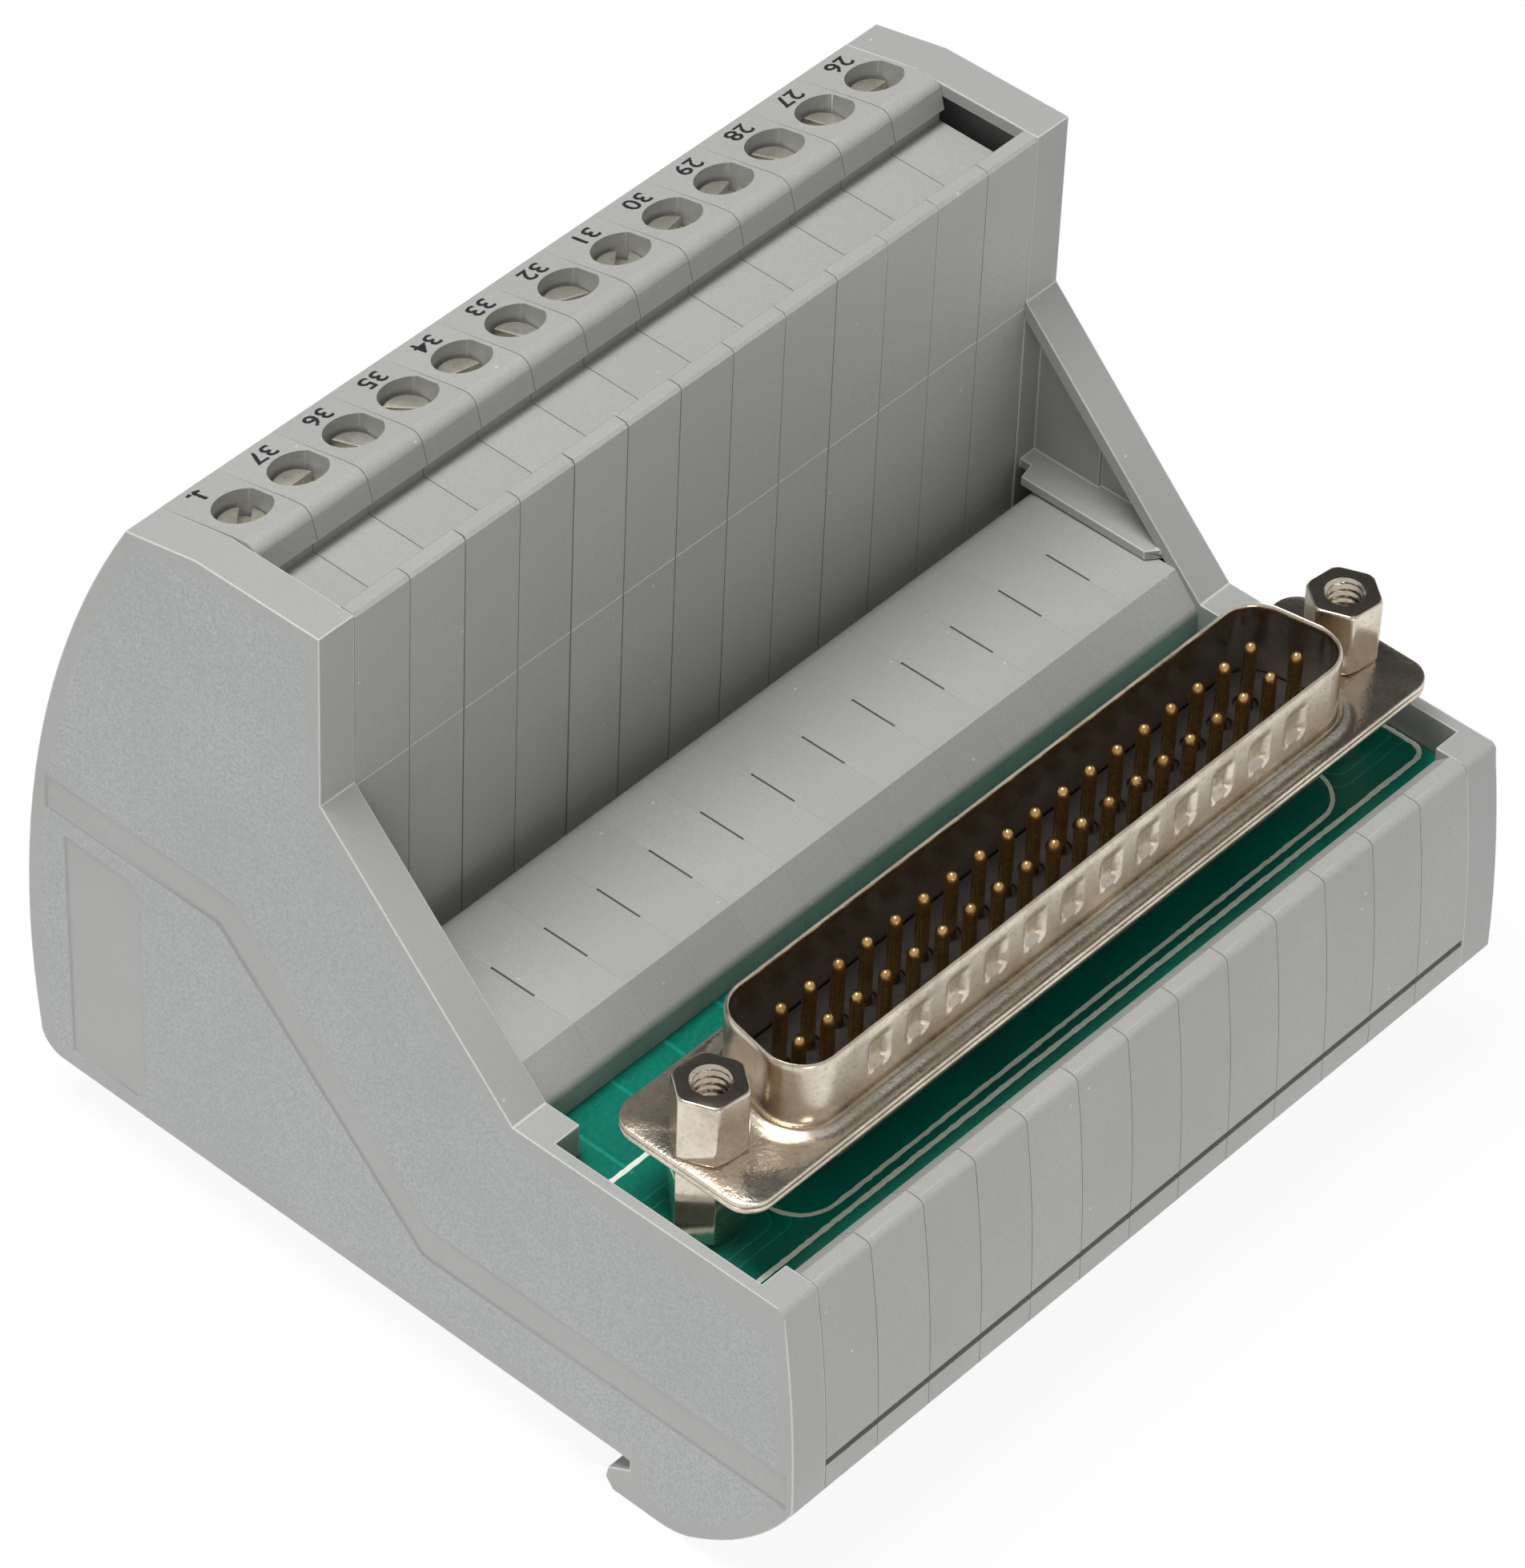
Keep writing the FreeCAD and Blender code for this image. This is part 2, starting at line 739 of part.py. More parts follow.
def make_covers():
    body = new_body("cover_form")
    outline = sketch(body, "cover_outline", cover_corners(), offset=ROW_HALF)
    pad(body, outline, "cover_depth")
    hollow = sketch(body, "cover_hollow", cover_hollow_corners(), offset=ROW_HALF)
    pocket(body, hollow, "cover_depth - cover_skin", up=True)
    shelf = sketch(body, "cover_shelf", shelf_corners(), plane="XY_Plane", offset="shelf_base")
    pad(body, shelf, "shelf_sheet")
    level = ROW_HALF + " + cover_depth - cover_skin - patch_rise"
    patch = sketch(body, "cover_patch", patch_corners(), offset=level)
    pad(body, patch, "patch_rise + cover_skin / 2")
    right = copy_of("far_cover", body)
    finish(right, "end_cover_far")
    left = doc.addObject("Part::Mirroring", "near_cover")
    left.Source = body
    left.Normal = (1, 0, 0)
    finish(left, "end_cover_near")


# Circuit board


def screw_x(index):
    return slice_start(index) + " + screw_side"


def bar_tail_box(name, index, tier, play):
    """The tail of a current bar where it passes the board, or with play the hole for it."""
    return box(name, "%s - bar_tail / 2 - %s" % (screw_x(index), play), "%s_bar_depth - %s" % (tier, play),
               TAIL_END, "bar_tail + 2 * " + play, "bar_sheet + 2 * " + play,
               "tail_length + 2 * board_sheet")


def make_board():
    blank = box("board_blank", "0 - %s - cover_depth + cover_skin + board_end_play" % ROW_HALF,
                "board_front", "board_height",
                "2 * (%s + cover_depth - cover_skin - board_end_play)" % ROW_HALF,
                "board_back - board_front", "board_sheet")
    holes = []
    for tier in TIERS:
        for index in slices():
            name = "%s_tail_hole_%02d" % (tier, index + 1)
            holes.append(bar_tail_box(name, index, tier, "board_hole_play"))
    for index, (x, y) in enumerate(pin_places()):
        half = "pin_tail / 2 + board_hole_play"
        holes.append(box("pin_hole_%02d" % (index + 1), "%s - (%s)" % (x, half), "%s - (%s)" % (y, half),
                         TAIL_END, "2 * (%s)" % half, "2 * (%s)" % half, "tail_length + 2 * board_sheet"))
    for side, sign in (("near", "-"), ("far", "+")):
        holes.append(drum(side + "_standoff_hole", "plug_shift %s jack_space / 2" % sign, "plug_depth",
                          TAIL_END, "standoff_shank + board_hole_play", "tail_length + 2 * board_sheet"))
    finish(cut("board", blank, gather("board_holes", holes)), "circuit_board")


# Plug connector


def pin_places():
    """Where each pin stands: the long row in front, the short row behind it and between."""
    places = []
    long_row = int(number("long_row"))
    for index in range(long_row):
        places.append(("plug_shift + pin_pitch * (%d - (long_row - 1) / 2)" % index,
                       "plug_depth - pin_row_space / 2"))
    for index in range(long_row - 1):
        places.append(("plug_shift + pin_pitch * (%d - (long_row - 2) / 2)" % index,
                       "plug_depth + pin_row_space / 2"))
    return places


def plug_corners(length, width, corner, inset="0"):
    """The D shape, longer in front, with ends that lean in towards the back. The inset moves it inwards."""
    inset = "(%s)" % inset
    lean = "sqrt(1 + shroud_lean * shroud_lean)"
    across = "(%s / 2 - %s)" % (width, inset)
    reach = "(%s / 2 - %s * (%s + shroud_lean))" % (length, inset, lean)
    back_reach = "(%s - 2 * %s * shroud_lean)" % (reach, across)
    round_off = "(%s - %s)" % (corner, inset)
    long_way = "(%s * (%s + shroud_lean))" % (round_off, lean)
    short_way = "(%s * (%s - shroud_lean))" % (round_off, lean)
    front = "plug_depth - %s" % across
    back = "plug_depth + %s" % across
    long_end = "%s - %s * shroud_lean / %s" % (reach, long_way, lean)
    short_end = "%s + %s * shroud_lean / %s" % (back_reach, short_way, lean)
    right = [
        ("%s - %s" % (reach, long_way), front, True),
        (long_end, "%s + %s / %s" % (front, long_way, lean), False),
        (short_end, "%s - %s / %s" % (back, short_way, lean), True),
        ("%s - %s" % (back_reach, short_way), back, False),
    ]
    corners = []
    for x, y, turns in right:
        place_at = ("plug_shift + " + x, y)
        corners.append(place_at + (round_off, 1) if turns else place_at)
    for x, y, turns in reversed(right):
        place_at = ("plug_shift - (" + x + ")", y)
        corners.append(place_at if turns else place_at + (round_off, 1))
    return corners


def flange_corners():
    left = "plug_shift - flange_length / 2"
    right = "plug_shift + flange_length / 2"
    front = "plug_depth - flange_width / 2"
    back = "plug_depth + flange_width / 2"
    return [
        (left, front + " + flange_corner", "flange_corner", 1),
        (left + " + flange_corner", front),
        (right + " - flange_corner", front, "flange_corner", 1),
        (right, front + " + flange_corner"),
        (right, back + " - flange_corner", "flange_corner", 1),
        (right + " - flange_corner", back),
        (left + " + flange_corner", back, "flange_corner", 1),
        (left, back + " - flange_corner"),
    ]


def jack_hole_tools(name, base, height):
    tools = []
    for side, sign in (("near", "-"), ("far", "+")):
        tools.append(drum("%s_%s" % (side, name), "plug_shift %s jack_space / 2" % sign, "plug_depth", base,
                          "jack_way", height))
    return gather(name, tools)


def make_shells():
    front = new_body("front_shell_form")
    base = "flange_top - flange_sheet"
    plate = sketch(front, "front_flange", flange_corners(), "XY_Plane", base)
    pad(front, plate, "flange_sheet")
    size = ("shroud_length", "shroud_width", "shroud_corner")
    skirt = sketch(front, "shroud_foot", plug_corners(*size), "XY_Plane", base)
    pad(front, skirt, "shroud_rim - (%s)" % base)
    round_rim(front, "shroud_foot_round", "flange_top", *size[:2], "shroud_foot_round")
    bore = sketch(front, "shroud_bore", plug_corners(*size, inset="shroud_wall"), "XY_Plane", base)
    pocket(front, bore, "shroud_rim - (%s)" % base, up=True)
    finish(cut("front_shell", front, jack_hole_tools("front_jack_holes", base, "flange_sheet")),
           "plug_front_shell")

    back = new_body("rear_shell_form")
    under = "flange_top - 2 * flange_sheet"
    plate = sketch(back, "rear_flange", flange_corners(), "XY_Plane", under)
    pad(back, plate, "flange_sheet")
    size = ("dish_length", "dish_width", "dish_corner")
    dish = sketch(back, "dish_outside", plug_corners(*size), "XY_Plane", "dish_floor")
    pad(back, dish, under + " - dish_floor")
    inside = sketch(back, "dish_inside", plug_corners(*size, inset="shroud_wall"), "XY_Plane",
                    "dish_floor + shroud_wall")
    pocket(back, inside, "flange_top - dish_floor", up=True)
    mouth = sketch(back, "dish_mouth", plug_corners(*size, inset="dish_edge"), "XY_Plane", "dish_floor")
    pocket(back, mouth, "shroud_wall", up=True)
    finish(cut("rear_shell", back, jack_hole_tools("rear_jack_holes", under, "flange_sheet")),
           "plug_rear_shell")


def make_insulator():
    body = new_body("insulator_form")
    size = ("dish_length", "dish_width", "dish_corner")
    inner = "shroud_wall + insulator_play"
    seat = sketch(body, "insulator_seat", plug_corners(*size, inset=inner), "XY_Plane",
                  "dish_floor + shroud_wall")
    pad(body, seat, "flange_top - flange_sheet - dish_floor - shroud_wall")
    size = ("shroud_length", "shroud_width", "shroud_corner")
    face = sketch(body, "insulator_nose", plug_corners(*size, inset=inner), "XY_Plane",
                  "flange_top - flange_sheet")
    pad(body, face, "insulator_face - flange_top + flange_sheet")
    size = ("dish_length", "dish_width", "dish_corner")
    foot = sketch(body, "insulator_foot_edge", plug_corners(*size, inset="dish_edge + insulator_play"),
                  "XY_Plane", "insulator_foot")
    pad(body, foot, "dish_floor + shroud_wall - insulator_foot")
    holes = []
    for index, (x, y) in enumerate(pin_places()):
        holes.append(prism("insulator_hole_%02d" % (index + 1), 6, x, y, "insulator_foot",
                           "2 * (pin_round + pin_play)", "insulator_face - insulator_foot"))
    finish(cut("insulator", body, gather("insulator_holes", holes)), "plug_insulator")


def make_pins():
    shaft = prism("pin_shaft", PIN_SIDES, "0", "0", "pin_shoulder", inscribed("pin_round", PIN_SIDES),
                  "pin_tip - pin_shoulder - pin_point")
    tip = tapered("pin_point_form", PIN_SIDES, "pin_tip - pin_point", "pin_round", "pin_flat", "pin_point")
    tail = box("pin_tail_form", "0 - pin_tail / 2", "0 - pin_tail / 2", TAIL_END, "pin_tail", "pin_tail",
               "pin_shoulder - %s" % TAIL_END)
    master = fuse("pin_form", [shaft, tip, tail])
    pins = [copy_of("pin_%02d" % (index + 1), master, x, y) for index, (x, y) in enumerate(pin_places())]
    finish(gather("pins", pins), "plug_contact_pins")


def pair_of(name, master):
    """Two copies of a fastener, at the ends of the flange."""
    return gather(name, [
        copy_of(name + "_near", master, "plug_shift - jack_space / 2", "plug_depth"),
        copy_of(name + "_far", master, "plug_shift + jack_space / 2", "plug_depth"),
    ])


def make_jack_screws():
    head = prism("jack_hexagon", 6, "0", "0", "flange_top", "jack_across", "jack_length", "jack_turn")
    corner = "jack_across / sqrt(3)"
    turned = cone("jack_turned", "0", "0", "flange_top", corner + " + 2 * (jack_length - jack_chamfer)",
                  "jack_across / 2 - jack_chamfer / 4", "jack_length")
    shank = prism("jack_shank_form", SHANK_SIDES, "0", "0", "flange_top - jack_shank_length",
                  inscribed("jack_shank", SHANK_SIDES), "jack_shank_length + jack_bore / 2")
    bore = drum("jack_bore_form", "0", "0", "flange_top + jack_length - jack_bore_depth", "jack_bore",
                "jack_bore_depth")
    blank = fuse("jack_blank", [common("jack_head", head, turned), shank])
    finish(pair_of("jack_screws", cut("jack_form", blank, bore)), "jack_screws")


def make_standoffs():
    top = "flange_top - 2 * flange_sheet"
    foot = BOARD_TOP + " + standoff_collar_height"
    collar = drum("standoff_collar_form", "0", "0", BOARD_TOP, "standoff_collar", "standoff_collar_height")
    barrel = prism("standoff_hexagon", 6, "0", "0", foot, "standoff_across", "%s - (%s)" % (top, foot),
                   "jack_turn")
    shank = prism("standoff_shank_form", SHANK_SIDES, "0", "0", BOARD_TOP + " - standoff_shank_length",
                  inscribed("standoff_shank", SHANK_SIDES), "standoff_shank_length + standoff_collar_height")
    bore = prism("standoff_bore_form", SHANK_SIDES, "0", "0",
                 "flange_top - jack_shank_length - standoff_collar_height", "2 * standoff_bore",
                 "jack_shank_length + standoff_collar_height")
    blank = fuse("standoff_blank", [collar, barrel, shank])
    finish(pair_of("standoffs", cut("standoff_form", blank, bore)), "board_standoffs")


# Screw terminals


def make_screw_form(tier):
    """A clamp screw about its own axis, with the plane of its head's top at nought."""
    if tier == "top":
        head = drum(tier + "_head", "0", "0", "0 - head_sheet", "head_round", "head_sheet")
    else:
        head = prism(tier + "_head", HOLE_SIDES, "0", "0", "0 - head_sheet",
                     inscribed("head_round", HOLE_SIDES), "head_sheet")
    shank = prism(tier + "_shank", SHANK_SIDES, "0", "0", "0 - shank_length",
                  inscribed("shank_round", SHANK_SIDES), "shank_length - head_sheet / 2")
    slot = box(tier + "_slot", "0 - head_round", "0 - head_slot / 2", "0 - head_slot_drop", "2 * head_round",
               "head_slot", "head_slot_drop")
    return cut(tier + "_screw_form", fuse(tier + "_screw_blank", [head, shank]), slot)


def make_cage_form():
    """A clamp cage about the screw's axis, with the face round the screw hole at nought."""
    shell = box("cage_shell", "0 - cage_width / 2", "0 - cage_half", "0 - cage_floor", "cage_width",
                "2 * cage_half", "cage_floor - cage_top")
    window = box("cage_window", "0 - cage_width / 2 + cage_wall", "0 - cage_half",
                 "0 - cage_floor + cage_base", "cage_width - 2 * cage_wall", "2 * cage_half",
                 "cage_floor - cage_base - cage_top - cage_roof")
    thread = prism("cage_thread", SHANK_SIDES, "0", "0", "0 - cage_top - cage_roof", "2 * cage_bore",
                   "cage_roof")
    return cut("cage_form", shell, fuse("cage_openings", [window, thread]))


def make_bar_form(tier):
    """A current bar: it lies across the chamber, turns and ends in a solder tail through the board."""
    seat = "%s_seat - bar_drop" % tier
    bar = "%s_bar_depth" % tier
    side = "0 - bar_width / 2"
    flat = box(tier + "_bar_flat", side, bar, seat + " - bar_sheet", "bar_width",
               "%s_screw_depth + cage_half - %s" % (tier, bar), "bar_sheet")
    if tier == "lower":
        low = seat + " - bar_sheet"
        high = "board_height - board_play - bar_play"
        tail_end = BOARD_TOP
    else:
        low = BOARD_TOP + " + board_play + bar_play"
        high = seat
        tail_end = TAIL_END
    leg = box(tier + "_bar_leg", side, bar, low, "bar_width", "bar_sheet", "%s - (%s)" % (high, low))
    near = "(%s)" % (high if tier == "lower" else tail_end)
    far = "(%s)" % (tail_end if tier == "lower" else low)
    tail = box(tier + "_bar_tail", "0 - bar_tail / 2", bar, near, "bar_tail", "bar_sheet",
               "%s - %s" % (far, near))
    return fuse(tier + "_bar_form", [flat, leg, tail])


def make_terminals():
    cage = make_cage_form()
    for tier in TIERS:
        screws = []
        cages = []
        bars = []
        screw = make_screw_form(tier)
        bar = make_bar_form(tier)
        for index in slices():
            mark = "%s_%02d" % (tier, index + 1)
            x = screw_x(index)
            depth = "%s_screw_depth" % tier
            screw_at = (x, depth, "%s_seat - head_drop" % tier)
            cage_at = (x, depth, "%s_seat" % tier)
            fastener = copy_of("screw_" + mark, screw, *screw_at)
            clamp = copy_of("cage_" + mark, cage, *cage_at)
            turn = SLOT_TURNS[(index + TIERS.index(tier) * 5) % len(SLOT_TURNS)]
            fastener.Placement.Rotation = FreeCAD.Rotation(FreeCAD.Vector(0, 0, 1), turn)
            screws.append(fastener)
            cages.append(clamp)
            bars.append(copy_of("bar_" + mark, bar, x))
            if tier == "top":
                finish(fastener, "top_screw_%02d" % (index + 1), *screw_at)
                finish(clamp, "top_cage_%02d" % (index + 1), *cage_at)
        if tier != "top":
            finish(gather(tier + "_screw_row", screws), tier + "_screws")
            finish(gather(tier + "_cage_row", cages), tier + "_cages")
        finish(gather(tier + "_bar_row", bars), tier + "_current_bars")


make_slices()
make_covers()
make_board()
make_shells()
make_insulator()
make_pins()
make_jack_screws()
make_standoffs()
make_terminals()
doc.recompute()

faults = [item.Name for item in doc.Objects if "Invalid" in item.State or "Error" in item.State]
for piece in MADE:
    shape = Part.getShape(piece)
    if shape.isNull() or not shape.isValid():
        faults.append(piece.Label)
if faults:
    raise SystemExit("Not built: " + ", ".join(faults))

os.makedirs("parts", exist_ok=True)
for piece in MADE:
    shape = Part.getShape(piece)
    shape.exportStep("parts/%s.step" % piece.Label)
    extent = shape.BoundBox
    print("%-22s %2d solids  %9.2f mm3  x %.2f..%.2f y %.2f..%.2f z %.2f..%.2f" % (
        piece.Label, len(shape.Solids), shape.Volume, extent.XMin, extent.XMax, extent.YMin, extent.YMax,
        extent.ZMin, extent.ZMax))
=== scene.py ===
"""Looks for the interface module: a D-sub plug on a board, a stepped tower of slices and two end covers.

Lengths in the tables below are in millimetres. Depth runs from the front of the foot, height from the rail.
"""
import math
import random

import bmesh
import bpy
from mathutils import Matrix, Vector
from mathutils.bvhtree import BVHTree
from mathutils.geometry import delaunay_2d_cdt


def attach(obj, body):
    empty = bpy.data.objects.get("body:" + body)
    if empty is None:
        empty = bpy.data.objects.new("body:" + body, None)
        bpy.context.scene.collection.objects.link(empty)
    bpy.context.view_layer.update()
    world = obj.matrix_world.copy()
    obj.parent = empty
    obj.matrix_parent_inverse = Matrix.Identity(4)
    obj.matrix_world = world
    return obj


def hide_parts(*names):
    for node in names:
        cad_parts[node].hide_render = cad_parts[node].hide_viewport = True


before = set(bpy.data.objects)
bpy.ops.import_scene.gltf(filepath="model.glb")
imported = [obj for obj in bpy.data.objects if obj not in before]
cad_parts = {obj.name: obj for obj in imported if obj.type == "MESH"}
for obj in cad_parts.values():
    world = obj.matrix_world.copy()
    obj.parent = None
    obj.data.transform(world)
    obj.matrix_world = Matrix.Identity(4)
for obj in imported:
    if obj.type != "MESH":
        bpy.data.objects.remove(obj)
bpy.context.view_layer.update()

MM = 0.001
HALF_DEPTH = 35.19

# The row of slices: how far apart they are, where it starts, and how far in from a slice's start its screws
# stand. Each slice starts SLICE_PLAY in, because there is a little room between neighbours
PITCH = 5.08
SLICE_COUNT = 13
SLICES = range(1, SLICE_COUNT + 1)
ROW_START = -33.02
SCREW_SIDE = 2.89
SLICE_PLAY = 0.03

# The step behind the board, the slit in each slice's near side, and the face of the tall wall, which is one
# half of the mould above WALL_MIDDLE and the other below
LEDGE_DEPTH = (25.0, 41.0)
LEDGE_HEIGHT = (26.0, 30.0)
SLIT_DEPTH = (31.0, 35.0)
SLIT_HEIGHT = (28.0, 29.6)
SLIT_FLOOR = 29.2
SLIT_SUNK = 0.08
SLIT_WIDER = 0.06
SLIT_DEEPER = 1.0
WALL_DEPTH = (42.0, 42.5)
WALL_MIDDLE = 50.0

# The flat top of the slices starts past this depth and height
TOP_DEPTH = 53.5
TOP_HEIGHT = 57.0

# The plug: its middle, the lean of its D shape, and each D as length, width and corner radius
PLUG_X = 0.1
PLUG_DEPTH = 12.19
PLUG_LEAN = 0.176
BOARD_TOP = 25.05
FLANGE_TOP = 32.69
FLANGE_SHEET = 0.5
FLANGE = (34.66, 6.275, 2.0)
SHROUD = (57.0, 9.1, 3.0)
SHROUD_WALL = 0.4
DISH = (56.0, 10.0, 3.4)
JACK_SPACE = 63.5
JACK_X = [PLUG_X + side * JACK_SPACE / 2 for side in (-1, 1)]
PIN_PITCH = 2.77
PIN_ROWS = 1.42


def spot(x, depth, height):
    """A point of the row frame, in metres, from its place along the row, its depth and its height."""
    return Vector((x, depth - HALF_DEPTH, height)) * MM


def spot_round(x, depth, height, reach, angle):
    """A point at a distance and level angle from a place."""
    return spot(x + reach * math.cos(angle), depth + reach * math.sin(angle), height)


def section(point):
    """The depth and height of a point of the row frame."""
    return point.y / MM + HALF_DEPTH, point.z / MM


def within(value, limits):
    return limits[0] < value < limits[1]


def slice_start(number):
    return ROW_START + (number - 1) * PITCH


def link(thing):
    bpy.context.scene.collection.objects.link(thing)
    return thing


def settled(holder):
    """The plain mesh of an object with its modifiers applied; the object itself goes."""
    made = bpy.data.meshes.new_from_object(holder.evaluated_get(bpy.context.evaluated_depsgraph_get()))
    bpy.data.objects.remove(holder)
    return made


# Node trees


def feed(tree, target, value):
    """Link a socket, or set a plain value."""
    if isinstance(value, bpy.types.NodeSocket):
        tree.links.new(value, target)
    elif value is not None:
        target.default_value = value


def node(tree, kind, inputs=None, **settings):
    made = tree.nodes.new(kind)
    for name, setting in settings.items():
        setattr(made, name, setting)
    for name, value in (inputs or {}).items():
        feed(tree, made.inputs[name], value)
    return made


def bare_tree(owner):
    """The emptied node tree of a material or world."""
    owner.use_nodes = True
    owner.node_tree.nodes.clear()
    return owner.node_tree


def maths(tree, operation, first, second=None):
    made = node(tree, "ShaderNodeMath", {0: first, 1: second}, operation=operation)
    return made.outputs[0]


def spread(tree, value, low, high, bottom=0.0, top=1.0):
    """Map low..high to bottom..top, held at the ends."""
    made = node(tree, "ShaderNodeMapRange", {"Value": value, "From Min": low, "From Max": high,
                                             "To Min": bottom, "To Max": top})
    return made.outputs[0]


def blend_colours(tree, amount, first, second):
    made = tree.nodes.new("ShaderNodeMix")
    made.data_type = "RGBA"
    feed(tree, made.inputs["Factor"], amount)
    feed(tree, made.inputs[6], first)
    feed(tree, made.inputs[7], second)
    return made.outputs[2]


def noise(tree, place, scale, detail, roughness):
    made = node(tree, "ShaderNodeTexNoise", {"Vector": place, "Scale": scale, "Detail": detail,
                                             "Roughness": roughness})
    return made.outputs[0]


def group_of(name, inputs, outputs, kind="ShaderNodeTree"):
    """An empty node group with its sockets, as (tree, input node, output node)."""
    tree = bpy.data.node_groups.new(name, kind)
    for label, socket, value in inputs:
        made = tree.interface.new_socket(label, in_out="INPUT", socket_type="NodeSocket" + socket)
        if value is not None:
            made.default_value = value
    for label, socket in outputs:
        tree.interface.new_socket(label, in_out="OUTPUT", socket_type="NodeSocket" + socket)
    return tree, tree.nodes.new("NodeGroupInput"), tree.nodes.new("NodeGroupOutput")


def linear(red, green, blue, alpha=1.0):
    """A colour written as it shows on a screen, 0 to 255, for a shader's own socket."""
    def one(value):
        value /= 255.0
        return value / 12.92 if value <= 0.04045 else ((value + 0.055) / 1.055) ** 2.4
    return (one(red), one(green), one(blue), alpha)


def shifted(tone, step):
    """A tone made paler or darker, for a shader's own socket."""
    return linear(*[max(0, part + step) for part in tone])


def make_grain_group():
    """Moulded plastic: fine grain, slow clouds of tone, and stray pale specks of dust."""
    tree, entry, leave = group_of(
        "Moulded Grain",
        [("Vector", "Vector", None), ("Grain Scale", "Float", 4200.0), ("Speck Share", "Float", 0.3)],
        [("Grain", "Float"), ("Cloud", "Float"), ("Speck", "Float"), ("Height", "Float")])
    place = entry.outputs["Vector"]
    grain = noise(tree, place, entry.outputs["Grain Scale"], 3.0, 0.6)
    cloud = noise(tree, place, 90.0, 3.0, 0.5)
    cell = node(tree, "ShaderNodeTexVoronoi", {"Vector": place, "Scale": 420.0})
    near = spread(tree, cell.outputs["Distance"], 0.07, 0.02)
    chosen = node(tree, "ShaderNodeSeparateColor", {"Color": cell.outputs["Color"]}).outputs[0]
    kept = maths(tree, "LESS_THAN", chosen, entry.outputs["Speck Share"])
    speck = maths(tree, "MULTIPLY", near, kept)
    height = maths(tree, "ADD", grain, maths(tree, "MULTIPLY", speck, 0.6))
    for target, value in zip(leave.inputs, (grain, cloud, speck, height)):
        feed(tree, target, value)
    return tree


def make_tarnish_group():
    """Plated metal: blotches and fine pits."""
    tree, entry, leave = group_of(
        "Plating Wear",
        [("Vector", "Vector", None), ("Blotch Scale", "Float", 300.0), ("Pit Scale", "Float", 3000.0)],
        [("Blotch", "Float"), ("Pit", "Float"), ("Height", "Float")])
    place = entry.outputs["Vector"]
    blotch = spread(tree, noise(tree, place, entry.outputs["Blotch Scale"], 4.0, 0.6), 0.35, 0.68)
    pits = noise(tree, place, entry.outputs["Pit Scale"], 3.0, 0.7)
    pit = spread(tree, pits, 0.52, 0.7)
    height = maths(tree, "SUBTRACT", maths(tree, "MULTIPLY", blotch, 0.4), pit)
    for target, value in zip(leave.inputs, (blotch, pit, height)):
        feed(tree, target, value)
    return tree


GRAIN = make_grain_group()
WEAR = make_tarnish_group()


def new_material(name):
    """(material, its tree, its Principled BSDF, Object coordinates)."""
    made = bpy.data.materials.new(name)
    tree = bare_tree(made)
    shader = tree.nodes.new("ShaderNodeBsdfPrincipled")
    node(tree, "ShaderNodeOutputMaterial", {"Surface": shader.outputs[0]})
    place = tree.nodes.new("ShaderNodeTexCoord").outputs["Object"]
    return made, tree, shader, place


def use_group(tree, group, **inputs):
    made = tree.nodes.new("ShaderNodeGroup")
    made.node_tree = group
    for name, value in inputs.items():
        feed(tree, made.inputs[name.replace("_", " ")], value)
    return made


def dress(tree, shader, colour, rough, height, strength, distance):
    """Colour, roughness and relief of a surface."""
    relief = node(tree, "ShaderNodeBump", {"Height": height, "Strength": strength, "Distance": distance})
    for label, value in (("Base Color", colour), ("Roughness", rough), ("Normal", relief.outputs[0])):
        feed(tree, shader.inputs[label], value)


def housing_finish(name, tone, grain_depth, mottle, rough):
    """Grey plastic; each slice of the row has a tone of its own."""
    made, tree, shader, place = new_material(name)
    grain = use_group(tree, GRAIN, Vector=place, Grain_Scale=5200.0, Speck_Share=0.5)
    tint = blend_colours(tree, spread(tree, grain.outputs["Grain"], 0.35, 0.65, 0.5 - mottle, 0.5 + mottle),
                         shifted(tone, -22), shifted(tone, 22))
    broad = blend_colours(tree, spread(tree, grain.outputs["Cloud"], 0.3, 0.7, 0.0, 0.35), tint,
                          linear(tone[0] - 6, tone[1] - 6, tone[2] - 7))
    along = node(tree, "ShaderNodeSeparateXYZ", {"Vector": place}).outputs[0]
    slices = maths(tree, "DIVIDE", maths(tree, "SUBTRACT", along, ROW_START * MM), PITCH * MM)
    lot = node(tree, "ShaderNodeTexWhiteNoise", {"W": maths(tree, "FLOOR", slices)}, noise_dimensions="1D")
    batch = blend_colours(tree, spread(tree, lot.outputs["Value"], 0.0, 1.0, 0.0, 0.3), broad,
                          linear(tone[0] - 14, tone[1] - 13, tone[2] - 13))
    dusty = blend_colours(tree, maths(tree, "MULTIPLY", grain.outputs["Speck"], 0.75), batch,
                          linear(222, 220, 206))
    shader.inputs["IOR"].default_value = 1.5
    dress(tree, shader, dusty, spread(tree, grain.outputs["Cloud"], 0.3, 0.7, rough - 0.04, rough + 0.06),
          grain.outputs["Height"], 0.5, grain_depth)
    return made


